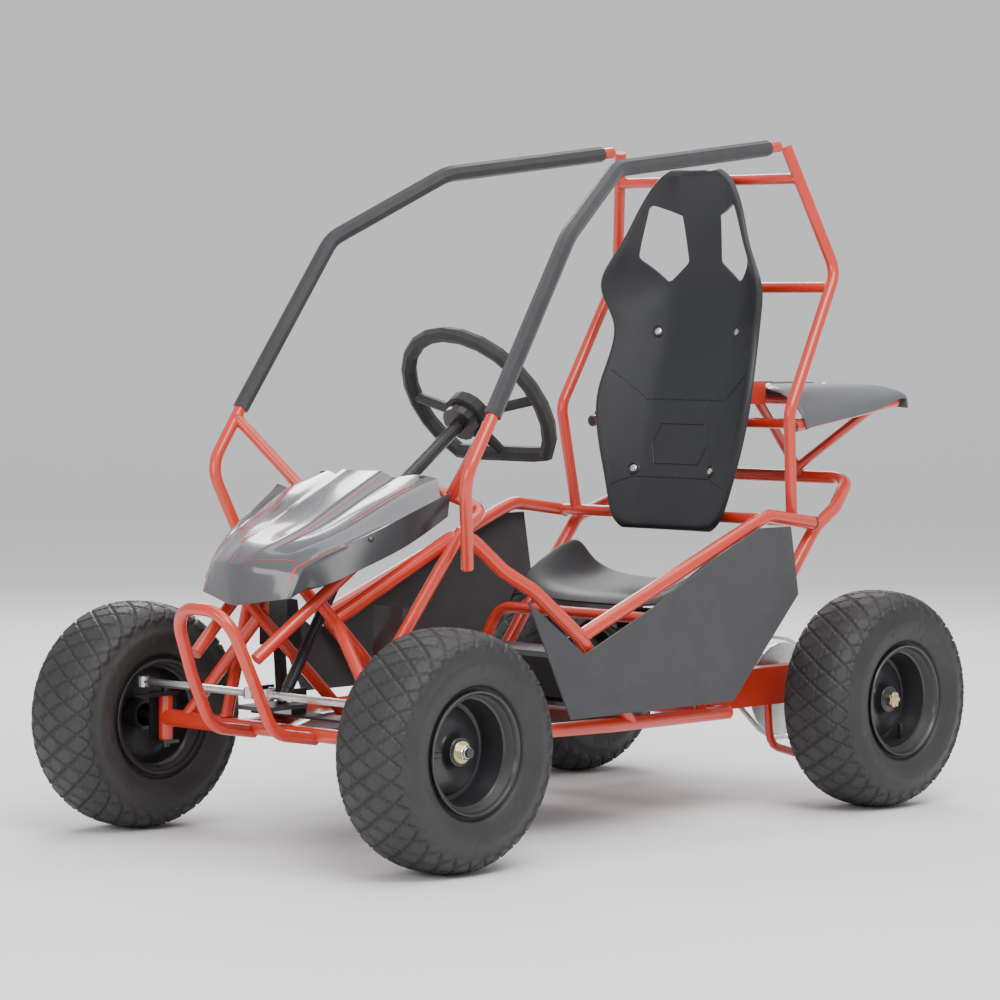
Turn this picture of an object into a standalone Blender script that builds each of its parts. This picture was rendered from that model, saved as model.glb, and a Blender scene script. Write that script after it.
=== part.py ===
"""Off-road electric kart for a child: tubular chassis with roll cage, steering, pedals, seat and drive.

Metres, +Z up. The kart faces -Y, its left side is +X, and it stands on Z = 0. Y is measured from the
middle of the wheelbase while the parts are built, and the last step moves the whole kart so that the
middle of its footprint is at the origin.
"""
import math

import bmesh
import bpy
from mathutils import Matrix, Vector

# Driving dimensions
WHEELBASE = 1.006
TYRE_RADIUS = 0.1775
TYRE_HALF_WIDTH = 0.0725
TYRE_STEPS = 28
RIM_STEPS = 16
FRONT_TRACK = 0.674
REAR_TRACK = 0.666
AXLE_Z = TYRE_RADIUS * math.cos(math.pi / TYRE_STEPS)
FRONT_Y = -WHEELBASE / 2
REAR_Y = WHEELBASE / 2
TUBE = 0.0095
RAIL = 0.011
GAP = 0.0003
TUBE_SIDES = 8
FLAT_SCALE = 1 / math.cos(math.pi / TUBE_SIDES)
BEND = 0.045
BEND_STEPS = 3
FOOTPRINT_MIDDLE_Y = 0.0176

KINGPIN_X = 0.268
KINGPIN_HALF = 0.034
KINGPIN_BOLT = 0.006
STUB_RADIUS = 0.0075
LIVE_AXLE_RADIUS = 0.0125
SPROCKET_X = 0.135
SPROCKET_RADIUS = 0.078
PINION_YZ = (0.285, 0.2735)
PINION_RADIUS = 0.016
TIE_ROD_Y = -0.555
TIE_ROD_Z = 0.236

COLUMN_TOP = Vector((0, -0.122, 0.634))
COLUMN_JOINT = Vector((0, -0.345, 0.475))
SHAFT_FOOT = Vector((0, -0.4968, 0.240))
SHELL = 0.006
RING_RADIUS = 0.134
RING_FLAT = 0.097
RING_DISH = 0.035
RING_TUBE = 0.0125
RING_STEPS = 24

# Routes of the bent tubes, for the left side or across the middle
APEX = (0.215, -0.345, 0.480)
NODE = (0.279, -0.155, 0.3135)
JUNCTION = (0.080, -0.475, 0.347)
BUMPER = [(0.067, -0.503, 0.170), (0.068, -0.589, 0.184), (0.067, -0.628, 0.265), (0.056, -0.6725, 0.369),
          (-0.056, -0.6725, 0.369), (-0.067, -0.628, 0.265), (-0.068, -0.589, 0.184), (-0.067, -0.503, 0.170)]
NOSE_STRUT = [(0.066, -0.622, 0.296), (0.100, -0.450, 0.430)]
FLOOR_STRUT = [(0.083, -0.515, 0.379), (0.077, -0.300, 0.176)]
BEAM_BRACE = [(0.220, -0.503, 0.182), JUNCTION]
FRONT_RAIL = [(0.0885, -0.4669, 0.3553), APEX, (0.240, -0.282, 0.417), (0.265, -0.241, 0.386), NODE,
              (0.262, -0.020, 0.174)]
FRONT_POST = [APEX, (0.133, -0.499, 0.186)]
SIDE_RAIL = [(0.272, 0.415, 0.463), (0.278, 0.290, 0.480), (0.279, 0.255, 0.468), NODE]
LOWER_RAIL = [(0.120, -0.503, 0.172), (0.130, -0.380, 0.172), (0.245, -0.205, 0.172), (0.262, -0.060, 0.171),
              (0.262, 0.215, 0.170)]
REAR_LOOP = [(0.258, 0.216, 0.193), (0.260, 0.300, 0.297), (0.260, 0.432, 0.452), (0.240, 0.510, 0.482),
             (0.198, 0.600, 0.527), (-0.198, 0.600, 0.527), (-0.240, 0.510, 0.482), (-0.260, 0.432, 0.452),
             (-0.260, 0.300, 0.297), (-0.258, 0.216, 0.193)]
HOOP_LEG = [(0.237, 0.402, 0.470), (0.250, 0.378, 0.643), (0.239, 0.509, 0.871), (0.181, 0.450, 1.075)]
HOOP_TOP = [(0.196, 0.465, 1.023), (-0.196, 0.465, 1.023)]
HOOP_MIDDLE = [(0.242, 0.494, 0.845), (-0.242, 0.494, 0.845)]
REAR_CROSS = [(0.270, 0.402, 0.4655), (-0.270, 0.402, 0.4655)]
CAGE = [(0.1815, 0.428, 1.074), (0.185, 0.029, 1.026), (0.257, -0.161, 0.918), (0.274, -0.347, 0.643),
        (0.276, -0.402, 0.559), (0.240, -0.359, 0.425)]
CAGE_BRACE = [(0.274, -0.351, 0.637), (0.165, -0.316, 0.530)]
FOAM = [(0.1818, 0.400, 1.0706), (0.185, 0.029, 1.026), (0.257, -0.161, 0.918), (0.2735, -0.342, 0.6504)]
DASH_HOOP = [(0.2145, -0.334, 0.486), (0.207, -0.287, 0.508), (0.150, -0.318, 0.532), (-0.150, -0.318, 0.532),
             (-0.207, -0.287, 0.508), (-0.2145, -0.334, 0.486)]
SEAT_HOOP = [(0.262, 0.150, 0.1705), (0.205, 0.178, 0.313), (-0.205, 0.178, 0.313), (-0.262, 0.150, 0.1705)]
SEAT_CROSS = [(0.258, 0.334, 0.3365), (-0.258, 0.334, 0.3365)]
LOWER_CROSS = [(0.262, 0.206, 0.170), (-0.262, 0.206, 0.170)]
RACK_SIDE = [(0.220, 0.423, 0.617), (0.220, 0.700, 0.655)]
RACK_FRONT = [(0.220, 0.455, 0.6214), (-0.220, 0.455, 0.6214)]
RACK_REAR = [(0.220, 0.690, 0.6536), (-0.220, 0.690, 0.6536)]
RACK_LEG = [(0.100, 0.476, 0.662), (0.100, 0.600, 0.527)]
RACK_BRACE = [(0.100, 0.585, 0.543), (0.2195, 0.640, 0.6468)]
SPROCKET_GUARD = [(0.165, 0.430, 0.196), (0.165, 0.440, 0.090), (0.165, 0.540, 0.062), (0.165, 0.600, 0.100),
                  (0.165, 0.545, 0.196)]

PAINT = (0.62, 0.045, 0.018, 1)
BLACK = (0.02, 0.02, 0.022, 1)
GREY = (0.12, 0.12, 0.13, 1)
STEEL = (0.6, 0.6, 0.6, 1)

for old_object in list(bpy.data.objects):
    bpy.data.objects.remove(old_object, do_unlink=True)
PARTS = bpy.data.collections.new("kart_chassis")
CUTTERS = bpy.data.collections.new("cutters")
for new_collection in (PARTS, CUTTERS):
    bpy.context.scene.collection.children.link(new_collection)


def material(name, colour, roughness, metallic):
    """Principled material of one finish."""
    made = bpy.data.materials.new(name)
    made.use_nodes = True
    shader = made.node_tree.nodes["Principled BSDF"]
    shader.inputs["Base Color"].default_value = colour
    shader.inputs["Roughness"].default_value = roughness
    shader.inputs["Metallic"].default_value = metallic
    return made


PAINTED = material("red_powder_coat", PAINT, 0.35, 0.0)
RUBBER = material("tyre_rubber", BLACK, 0.8, 0.0)
PLASTIC = material("black_plastic", BLACK, 0.5, 0.0)
COWL = material("grey_gloss_plastic", GREY, 0.25, 0.0)
BLACK_METAL = material("black_steel", BLACK, 0.4, 0.6)
ZINC = material("zinc_steel", STEEL, 0.35, 1.0)
FOAM_SKIN = material("foam", BLACK, 0.9, 0.0)
FABRIC = material("net_fabric", BLACK, 0.9, 0.0)


def place(name, mesh, finish):
    """Object for a mesh, in the kart's own collection."""
    made = bpy.data.objects.new(name, mesh)
    if finish:
        mesh.materials.clear()
        mesh.materials.append(finish)
        mesh.shade_smooth()
        mesh.set_sharp_from_angle(angle=math.radians(38))
    PARTS.objects.link(made)
    return made


def from_bmesh(name, form, finish):
    """Object from a bmesh, whose faces are turned outwards."""
    bmesh.ops.recalc_face_normals(form, faces=form.faces)
    mesh = bpy.data.meshes.new(name)
    form.to_mesh(mesh)
    form.free()
    return place(name, mesh, finish)


def mirrored(points):
    """The same route on the other side of the kart."""
    return [(-x, y, z) for x, y, z in points]


def rounded(points, bend):
    """Route with each corner replaced by an arc, as a tube bender leaves it."""
    corners = [Vector(point) for point in points]
    route = [corners[0]]
    for before, corner, after in zip(corners, corners[1:], corners[2:]):
        inward = (before - corner).normalized()
        outward = (after - corner).normalized()
        half_turn = inward.angle(outward) / 2
        reach = min(bend / math.tan(half_turn), (before - corner).length * 0.45, (after - corner).length * 0.45)
        radius = reach * math.tan(half_turn)
        middle = corner + (inward + outward).normalized() * (radius / math.sin(half_turn))
        start = (corner + inward * reach - middle).normalized()
        end = (corner + outward * reach - middle).normalized()
        for step in range(BEND_STEPS + 1):
            route.append(middle + start.slerp(end, step / BEND_STEPS) * radius)
    route.append(corners[-1])
    return route


def tube(name, points, radius, finish, bend=BEND, sides=TUBE_SIDES):
    """Bent round tube along a route, as a closed mesh."""
    curve = bpy.data.curves.new(name, "CURVE")
    curve.dimensions = "3D"
    curve.bevel_depth = radius
    curve.bevel_resolution = sides // 2 - 2
    curve.use_fill_caps = True
    spline = curve.splines.new("POLY")
    route = rounded(points, bend)
    spline.points.add(len(route) - 1)
    for point, place_on_route in zip(spline.points, route):
        point.co = (*place_on_route, 1)
    guide = bpy.data.objects.new(name + "_curve", curve)
    bpy.context.scene.collection.objects.link(guide)
    evaluated = guide.evaluated_get(bpy.context.evaluated_depsgraph_get())
    form = bmesh.new()
    form.from_mesh(bpy.data.meshes.new_from_object(evaluated))
    bpy.data.objects.remove(guide, do_unlink=True)
    bmesh.ops.remove_doubles(form, verts=form.verts, dist=0.00001)
    return from_bmesh(name, form, finish)


def box(name, low, high, finish, rounding=0.0):
    """Block between two corners, with its edges bevelled if asked."""
    form = bmesh.new()
    bmesh.ops.create_cube(form, size=1)
    low, high = Vector(low), Vector(high)
    bmesh.ops.scale(form, vec=high - low, verts=form.verts)
    bmesh.ops.translate(form, vec=(low + high) / 2, verts=form.verts)
    made = from_bmesh(name, form, finish)
    if rounding:
        bevel = made.modifiers.new("rounding", "BEVEL")
        bevel.width = rounding
        bevel.segments = 1
    return made


def rod(name, start, end, radius, finish, sides=16, end_radius=None):
    """Straight round bar or cone between two points."""
    start, end = Vector(start), Vector(end)
    form = bmesh.new()
    bmesh.ops.create_cone(form, cap_ends=True, segments=sides, radius1=radius,
                          radius2=radius if end_radius is None else end_radius, depth=(end - start).length)
    turn = (end - start).to_track_quat("Z", "Y").to_matrix().to_4x4()
    bmesh.ops.transform(form, matrix=Matrix.Translation((start + end) / 2) @ turn, verts=form.verts)
    return from_bmesh(name, form, finish)


def plate(name, outline, low_x, high_x, finish):
    """Flat plate across the kart, cut to an outline in Y and Z."""
    form = bmesh.new()
    face = form.faces.new([form.verts.new((low_x, y, z)) for y, z in outline])
    grown = bmesh.ops.extrude_face_region(form, geom=[face])
    moved = [item for item in grown["geom"] if isinstance(item, bmesh.types.BMVert)]
    bmesh.ops.translate(form, vec=(high_x - low_x, 0, 0), verts=moved)
    return from_bmesh(name, form, finish)


def turned(name, profile, centre, steps, finish, outboard=1):
    """Ring turned about the X axis. The profile gives radius and distance outboard."""
    # The outer side of the profile has to run downwards for the faces to point out.
    winding = sum(r1 * a2 - r2 * a1 for (r1, a1), (r2, a2) in zip(profile, profile[1:] + profile[:1]))
    if winding > 0:
        profile = profile[::-1]
    form = bmesh.new()
    vertices = [form.verts.new((radius, 0, along)) for radius, along in profile]
    for first, second in zip(vertices, vertices[1:] + vertices[:1]):
        form.edges.new((first, second))
    mesh = bpy.data.meshes.new(name)
    form.to_mesh(mesh)
    form.free()
    made = place(name, mesh, None)
    mesh.materials.append(finish)
    screw = made.modifiers.new("turn", "SCREW")
    screw.steps = steps
    screw.render_steps = steps
    screw.use_merge_vertices = True
    screw.merge_threshold = 0.00001
    screw.use_smooth_shade = True
    # Half a step of turn puts a flat of the tread on the ground.
    half_step = Matrix.Rotation(math.pi / steps, 4, "Z")
    made.matrix_world = Matrix.Translation(centre) @ Matrix.Rotation(outboard * math.pi / 2, 4, "Y") @ half_step
    return made


def pivot(made, point):
    """Put an object's origin on its joint's axis, with its shape left where it is."""
    made.data.transform(Matrix.Translation(-Vector(point)))
    made.matrix_world = Matrix.Translation(point)
    return made


def to_cutters(made):
    """Turn an object into a construction piece that isn't part of the kart."""
    PARTS.objects.unlink(made)
    CUTTERS.objects.link(made)
    made.hide_render = True
    made.display_type = "WIRE"
    return made


def combine(target, other, operation):
    """Add a boolean modifier that uses another object."""
    to_cutters(other)
    boolean = target.modifiers.new(operation.lower(), "BOOLEAN")
    boolean.operation = operation
    boolean.object = other
    return target


def weld(target, *others):
    """Join welded pieces into one solid."""
    for other in others:
        combine(target, other, "UNION")
    return target


def cut(target, *others):
    """Cut other shapes out of a solid."""
    for other in others:
        combine(target, other, "DIFFERENCE")
    return target


def notch(target, points, radius, bend=BEND):
    """Cope a tube's end where it meets another tube, leaving a weld gap."""
    return cut(target, tube("cope", points, radius * FLAT_SCALE + GAP, None, bend))


def both_sides(maker):
    """Make a piece for the left side and for the right side."""
    for name, sign in (("left", 1), ("right", -1)):
        maker(name, sign)


def side_route(points, sign):
    return points if sign > 0 else mirrored(points)


def wheel_centre(front, sign):
    track = FRONT_TRACK if front else REAR_TRACK
    return Vector((sign * track / 2, FRONT_Y if front else REAR_Y, AXLE_Z))


def front_beam():
    """Front axle beam, thicker at its ends, with the two kingpin tubes."""
    made = rod("front_beam", (-KINGPIN_X + 0.004, FRONT_Y, AXLE_Z), (KINGPIN_X - 0.004, FRONT_Y, AXLE_Z), RAIL, PAINTED)
    for sign in (1, -1):
        sleeve = rod("sleeve", (sign * 0.155, FRONT_Y, AXLE_Z), (sign * (KINGPIN_X - 0.006), FRONT_Y, AXLE_Z),
                     0.0135, None)
        barrel = rod("barrel", (sign * KINGPIN_X, FRONT_Y, AXLE_Z - KINGPIN_HALF),
                     (sign * KINGPIN_X, FRONT_Y, AXLE_Z + KINGPIN_HALF), RAIL, None)
        weld(made, sleeve, barrel)
    for sign in (1, -1):
        bore = rod("bore", (sign * KINGPIN_X, FRONT_Y, AXLE_Z - 0.05), (sign * KINGPIN_X, FRONT_Y, AXLE_Z + 0.05),
                   KINGPIN_BOLT + 0.0005, None)
        cut(made, bore)


def beam_cutter():
    return rod("beam_clearance", (-0.27, FRONT_Y, AXLE_Z), (0.27, FRONT_Y, AXLE_Z), 0.0135 * 1.02 + GAP, None)


def bumper():
    made = tube("bumper_loop", BUMPER, TUBE, PAINTED, 0.05)
    cut(made, beam_cutter())


def nose_frame(side, sign):
    """Struts that tie the bumper loop, the beam and the floor together."""
    made = tube("nose_frame_" + side, side_route(NOSE_STRUT, sign), TUBE, PAINTED)
    weld(made, tube("floor_strut", side_route(FLOOR_STRUT, sign), TUBE, None),
         tube("beam_brace", side_route(BEAM_BRACE, sign), TUBE * 0.98, None))
    notch(made, BUMPER, TUBE, 0.05)
    cut(made, beam_cutter())


def front_rail(side, sign):
    """Tube from the nose over the apex and down to the lower rail, with its post to the beam."""
    made = tube("front_rail_" + side, side_route(FRONT_RAIL, sign), RAIL, PAINTED, 0.035)
    weld(made, tube("front_post", side_route(FRONT_POST, sign), TUBE, None))
    cut(made, beam_cutter())
    notch(made, side_route(LOWER_RAIL, sign), RAIL, 0.06)


def lower_frame():
    """Both lower rails with the cross tube behind them and the hoop under the seat."""
    made = tube("lower_frame", LOWER_RAIL, RAIL, PAINTED, 0.06)
    weld(made, tube("lower_cross", LOWER_CROSS, RAIL * 0.95, None), tube("seat_hoop", SEAT_HOOP, TUBE, None, 0.04),
         tube("other_rail", mirrored(LOWER_RAIL), RAIL, None, 0.06))
    cut(made, beam_cutter())


def side_rails():
    """Upper side tubes from the rear caps down to the front rails, and the tube across behind the seat."""
    made = tube("side_rails", SIDE_RAIL, RAIL, PAINTED, 0.05)
    weld(made, tube("rear_cross", REAR_CROSS, TUBE, None), tube("other_rail", mirrored(SIDE_RAIL), RAIL, None, 0.05))
    for sign in (1, -1):
        notch(made, side_route(FRONT_RAIL, sign), RAIL, 0.035)


def rear_loop():
    """Bent tube that rises behind each side and crosses behind the seat."""
    made = tube("rear_loop", REAR_LOOP, RAIL, PAINTED, 0.05)
    weld(made, tube("seat_cross", SEAT_CROSS, TUBE, None))
    notch(made, LOWER_CROSS, RAIL)
    for sign in (1, -1):
        notch(made, side_route(LOWER_RAIL, sign), RAIL, 0.06)
        notch(made, side_route(SIDE_RAIL, sign), RAIL, 0.05)


def rear_hoop():
    """Roll hoop behind the seat: two bent legs and two cross bars."""
    made = tube("rear_hoop", HOOP_LEG, TUBE, PAINTED, 0.05)
    weld(made, tube("hoop_top", HOOP_TOP, TUBE * 0.95, None), tube("other_leg", mirrored(HOOP_LEG), TUBE, None),
         tube("hoop_middle", HOOP_MIDDLE, TUBE * 0.95, None))
    notch(made, REAR_CROSS, TUBE)


def cage_side(side, sign):
    """Roof tube of the cage with its flattened, bolted foot and the brace to the dash hoop."""
    made = tube("cage_tube_" + side, side_route(CAGE, sign), TUBE, PAINTED, 0.06)
    weld(made, tube("cage_brace", side_route(CAGE_BRACE, sign), TUBE * 0.97, None))
    notch(made, DASH_HOOP, TUBE, 0.05)
    notch(made, side_route(HOOP_LEG, sign), TUBE, 0.05)
    notch(made, side_route(FRONT_RAIL, sign), RAIL, 0.035)


def foam_pad(side, sign):
    """Foam sleeve round the roof tube."""
    made = tube("foam_pad_" + side, side_route(FOAM, sign), 0.0133, FOAM_SKIN, 0.06)
    notch(made, side_route(CAGE, sign), TUBE * 0.98, 0.06)
    bore = tube("brace_clearance", side_route(CAGE_BRACE, sign), TUBE * FLAT_SCALE + GAP, None)
    cut(made, bore)


def dash_hoop():
    """Tube across the dash, with the bracket that carries the column's bush."""
    made = tube("dash_hoop", DASH_HOOP, TUBE, PAINTED, 0.05)
    direction = (COLUMN_TOP - COLUMN_JOINT).normalized()
    support = COLUMN_JOINT + direction * 0.030
    weld(made, rod("bush", support - direction * 0.012, support + direction * 0.012, 0.019, None),
         box("hanger", (-0.008, -0.3215, 0.500), (0.008, -0.3145, 0.529), None))
    cut(made, rod("bush_bore", support - direction * 0.03, support + direction * 0.03, 0.0118, None))
    for sign in (1, -1):
        notch(made, side_route(FRONT_RAIL, sign), RAIL, 0.035)
        notch(made, side_route(FRONT_POST, sign), TUBE)


def floor_pan():
    """Footwell sheet that lies in the lower frame."""
    outline = [(-0.118, -0.440), (0.118, -0.440), (0.118, -0.372), (0.228, -0.200), (0.245, -0.060), (0.245, 0.140),
               (-0.245, 0.140), (-0.245, -0.060), (-0.228, -0.200), (-0.118, -0.372)]
    form = bmesh.new()
    face = form.faces.new([form.verts.new((x, y, 0.1605)) for x, y in outline])
    grown = bmesh.ops.extrude_face_region(form, geom=[face])
    top = [item for item in grown["geom"] if isinstance(item, bmesh.types.BMVert)]
    bmesh.ops.translate(form, vec=(0, 0, 0.002), verts=top)
    from_bmesh("floor_pan", form, BLACK_METAL)


def seat_base():
    """Moulded bucket: pan, two side wings and a raised back edge."""
    pan_side = [(0.160, 0.3255), (0.300, 0.3255), (0.318, 0.3475), (0.388, 0.3475), (0.390, 0.375), (0.185, 0.352),
                (0.160, 0.340)]
    wing = [(0.190, 0.335), (0.205, 0.362), (0.345, 0.447), (0.365, 0.447), (0.386, 0.395), (0.388, 0.350),
            (0.318, 0.350), (0.302, 0.330)]
    made = plate("seat_base", pan_side, -0.170, 0.170, PLASTIC)
    weld(made, plate("wing", wing, 0.162, 0.195, None), plate("wing", wing, -0.195, -0.162, None))


def seat_back():
    """Tall moulded shell whose sides curve forward, with two openings at the head."""
    # Height, half width, back of the middle, and how far the side edges reach forward
    rows = [(0.4475, 0.100, 0.3680, 0.004), (0.4780, 0.1206, 0.3770, 0.010), (0.5416, 0.140, 0.3975, 0.022),
            (0.6709, 0.1647, 0.4335, 0.052), (0.7682, 0.1506, 0.4600, 0.044), (0.8377, 0.1746, 0.4760, 0.080),
            (0.9250, 0.128, 0.4660, 0.060), (1.0000, 0.090, 0.4520, 0.028), (1.0375, 0.060, 0.4440, 0.012)]
    shares = (-1.0, -0.86, -0.60, -0.30, 0.0, 0.30, 0.60, 0.86, 1.0)
    form = bmesh.new()
    grid = [[form.verts.new((half * share, back - SHELL / 2 - reach * abs(share) ** 4, height)) for share in shares]
            for height, half, back, reach in rows]
    for row, next_row in zip(grid, grid[1:]):
        for index in range(len(shares) - 1):
            form.faces.new((row[index], row[index + 1], next_row[index + 1], next_row[index]))
    made = from_bmesh("seat_back", form, PLASTIC)
    shell = made.modifiers.new("wall", "SOLIDIFY")
    shell.thickness = SHELL
    shell.offset = 0
    head = [(0.036, 0.985), (0.060, 0.978), (0.082, 0.905), (0.034, 0.855), (0.018, 0.880)]
    for sign in (1, -1):
        form = bmesh.new()
        face = form.faces.new([form.verts.new((sign * x, 0.30, z)) for x, z in head])
        grown = bmesh.ops.extrude_face_region(form, geom=[face])
        far = [item for item in grown["geom"] if isinstance(item, bmesh.types.BMVert)]
        bmesh.ops.translate(form, vec=(0, 0.30, 0), verts=far)
        cut(made, from_bmesh("head_opening", form, None))


def hood():
    """Nose cowl: faceted shell lofted over five stations, open underneath."""
    stations = [
        (-0.608, [(0.0, 0.373), (0.020, 0.377), (0.040, 0.381), (0.060, 0.385), (0.075, 0.389)]),
        (-0.585, [(0.0, 0.437), (0.030, 0.438), (0.055, 0.436), (0.085, 0.425), (0.105, 0.392)]),
        (-0.520, [(0.0, 0.478), (0.040, 0.481), (0.085, 0.474), (0.135, 0.440), (0.140, 0.417)]),
        (-0.450, [(0.0, 0.515), (0.045, 0.520), (0.100, 0.510), (0.145, 0.500), (0.165, 0.445)]),
        (-0.340, [(0.0, 0.566), (0.034, 0.570), (0.062, 0.556), (0.150, 0.556), (0.186, 0.515)]),
    ]
    form = bmesh.new()
    rows = [[form.verts.new((x, y, z)) for x, z in half] for y, half in stations]
    for row, next_row in zip(rows, rows[1:]):
        for index in range(len(row) - 1):
            form.faces.new((row[index], row[index + 1], next_row[index + 1], next_row[index]))
    made = from_bmesh("hood", form, COWL)
    mirror = made.modifiers.new("other_half", "MIRROR")
    mirror.merge_threshold = 0.0001
    shell = made.modifiers.new("wall", "SOLIDIFY")
    shell.thickness = 0.004
    shell.offset = -1


def side_net(side, sign):
    """Net panel stretched between the side rail, the post and the lower rail."""
    outline = [(-0.285, 0.375), (-0.160, 0.288), (0.000, 0.352), (0.140, 0.418), (0.250, 0.462), (0.330, 0.462),
               (0.350, 0.352), (0.190, 0.192), (-0.190, 0.192)]
    plate("side_net_" + side, outline, sign * 0.2915, sign * 0.2945, FABRIC)


def battery_box():
    box("battery_box", (-0.200, 0.030, 0.184), (0.200, 0.140, 0.262), PLASTIC, 0.008)


def motor():
    """Motor with its end bell, on a plate between the axle carriers."""
    y, z = PINION_YZ
    made = rod("motor", (0.0, y, z), (0.115, y, z), 0.045, BLACK_METAL, 20)
    weld(made, box("foot", (0.010, y - 0.025, 0.2266), (0.105, y + 0.025, z), None))
    pinion = rod("motor_pinion", (0.129, y, z), (0.141, y, z), PINION_RADIUS, ZINC)
    weld(pinion, rod("shaft", (0.1155, y, z), (0.145, y, z), 0.006, None))
    pivot(pinion, (SPROCKET_X, y, z))
    bed = box("motor_plate", (-0.180, 0.240, 0.2223), (0.180, 0.310, 0.2263), BLACK_METAL)
    cut(bed, box("chain_slot", (0.124, 0.262, 0.21), (0.148, 0.33, 0.24), None))


def chain():
    """Drive chain, as one band round the pinion and the sprocket."""
    pinion = Vector((0, *PINION_YZ))
    sprocket = Vector((0, REAR_Y, AXLE_Z))
    along = sprocket - pinion
    heading = math.atan2(along.z, along.y)
    lean = math.asin((SPROCKET_RADIUS - PINION_RADIUS) / along.length)

    def loop(extra):
        outline = []
        for middle, radius, start, end in ((sprocket, SPROCKET_RADIUS, heading - math.pi / 2 - lean,
                                            heading + math.pi / 2 + lean),
                                           (pinion, PINION_RADIUS, heading + math.pi / 2 + lean,
                                            heading + math.pi * 1.5 - lean)):
            for step in range(9):
                angle = start + (end - start) * step / 8
                outline.append((middle.y + (radius * 1.02 + extra) * math.cos(angle),
                                middle.z + (radius * 1.02 + extra) * math.sin(angle)))
        return outline

    made = plate("drive_chain", loop(0.007), SPROCKET_X - 0.0035, SPROCKET_X + 0.0035, BLACK_METAL)
    cut(made, plate("inside", loop(0.0015), SPROCKET_X - 0.02, SPROCKET_X + 0.02, None))


def rear_axle():
    """Live axle with its sprocket and brake disc."""
    shaft = rod("rear_axle", (-0.372, REAR_Y, AXLE_Z), (0.372, REAR_Y, AXLE_Z), LIVE_AXLE_RADIUS, ZINC)
    pivot(shaft, (0, REAR_Y, AXLE_Z))
    bore = LIVE_AXLE_RADIUS + 0.0004
    turned("sprocket", [(SPROCKET_RADIUS, -0.002), (SPROCKET_RADIUS, 0.002), (0.022, 0.002), (bore, 0.002),
                        (bore, -0.016), (0.022, -0.016), (0.022, -0.002)],
           (SPROCKET_X, REAR_Y, AXLE_Z), 24, ZINC)
    turned("brake_disc", [(0.070, -0.0015), (0.070, 0.0015), (0.022, 0.0015), (bore, 0.0015), (bore, -0.014),
                          (0.022, -0.014), (0.022, -0.0015)], (-0.105, REAR_Y, AXLE_Z), 24, ZINC)


def axle_carrier(side, sign):
    """Box-section arm from the lower frame to the axle bearing."""
    arm = [(0.2175, 0.1600), (0.2175, 0.2150), (0.240, 0.2220), (0.515, 0.2220), (0.535, 0.200), (0.535, 0.155),
           (0.515, 0.148), (0.470, 0.160)]
    made = plate("axle_carrier_" + side, arm, sign * 0.153, sign * 0.181, PAINTED)
    if sign > 0:
        weld(made, tube("sprocket_guard", SPROCKET_GUARD, 0.007, None, 0.03))
    cut(made, rod("axle_bore", (sign * 0.13, REAR_Y, AXLE_Z), (sign * 0.20, REAR_Y, AXLE_Z),
                  LIVE_AXLE_RADIUS + 0.0006, None))


def brake_caliper():
    """Caliper that straddles the brake disc, on an arm from the right carrier."""
    y, z = REAR_Y - 0.050, AXLE_Z + 0.045
    made = box("brake_caliper", (-0.125, y - 0.028, z - 0.020), (-0.085, y + 0.012, z + 0.030), BLACK_METAL)
    cut(made, box("disc_slot", (-0.1085, y - 0.018, z - 0.05), (-0.1015, y + 0.05, z + 0.020), None))
    weld(made, box("arm", (-0.1525, y - 0.020, z - 0.012), (-0.120, y + 0.004, z - 0.004), None))


def rack():
    """Luggage rack behind the seat: tube frame, plastic deck and the two V legs."""
    frame = tube("rack_frame", RACK_SIDE, TUBE, PAINTED)
    weld(frame, tube("rack_front", RACK_FRONT, TUBE * 0.9, None), tube("rack_rear", RACK_REAR, TUBE * 0.95, None),
         tube("rack_side", mirrored(RACK_SIDE), TUBE, None))


def rack_panel():
    """Deck with a raised middle, skirts at its sides and a flap at the rear."""
    (_, start_y, start_z), (_, end_y, end_z) = RACK_SIDE
    top, rear_y, wall = 0.682, 0.7115, 0.004
    # Distance from the middle, front edge, and the share of the middle's rise
    columns = [(0.0, 0.500, 1.0), (0.118, 0.500, 1.0), (0.138, 0.452, 1.0), (0.192, 0.441, 0.85), (0.2320, 0.441, 0.0)]

    def edge_height(y):
        return start_z + (y - start_y) * (end_z - start_z) / (end_y - start_y) + TUBE * FLAT_SCALE + wall

    form = bmesh.new()
    grid = []
    for sign, half in ((-1, columns[:0:-1]), (1, columns)):
        for x, front_y, share in half:
            line = []
            for part in (0.0, 0.3, 0.65, 1.0):
                y = front_y + part * (rear_y - front_y)
                low = edge_height(y)
                line.append((sign * x, y, low + share * (top - low)))
            line.append((sign * x, rear_y + 0.003, edge_height(rear_y) - 0.016))
            grid.append(line)
    skirt = [(0.2345, y, z - (0.018 if index < 4 else 0.004)) for index, (_, y, z) in enumerate(grid[-1])]
    grid = [mirrored(skirt)] + grid + [skirt]
    rows = [[form.verts.new(point) for point in line] for line in grid]
    for row, next_row in zip(rows, rows[1:]):
        for index in range(len(row) - 1):
            form.faces.new((row[index], next_row[index], next_row[index + 1], row[index + 1]))
    made = from_bmesh("rack_panel", form, COWL)
    shell = made.modifiers.new("wall", "SOLIDIFY")
    shell.thickness = wall
    shell.offset = 0


def rack_leg(side, sign):
    made = tube("rack_leg_" + side, side_route(RACK_LEG, sign), 0.008, PAINTED)
    weld(made, tube("rear_arm", side_route(RACK_BRACE, sign), 0.0075, None))
    low, high = sorted((sign * 0.088, sign * 0.112))
    weld(made, box("clevis", (low, 0.448, 0.652), (high, 0.486, 0.690), None))
    notch(made, side_route(RACK_SIDE, sign), TUBE)
    notch(made, RACK_FRONT, TUBE)
    notch(made, REAR_LOOP, RAIL, 0.05)


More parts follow.
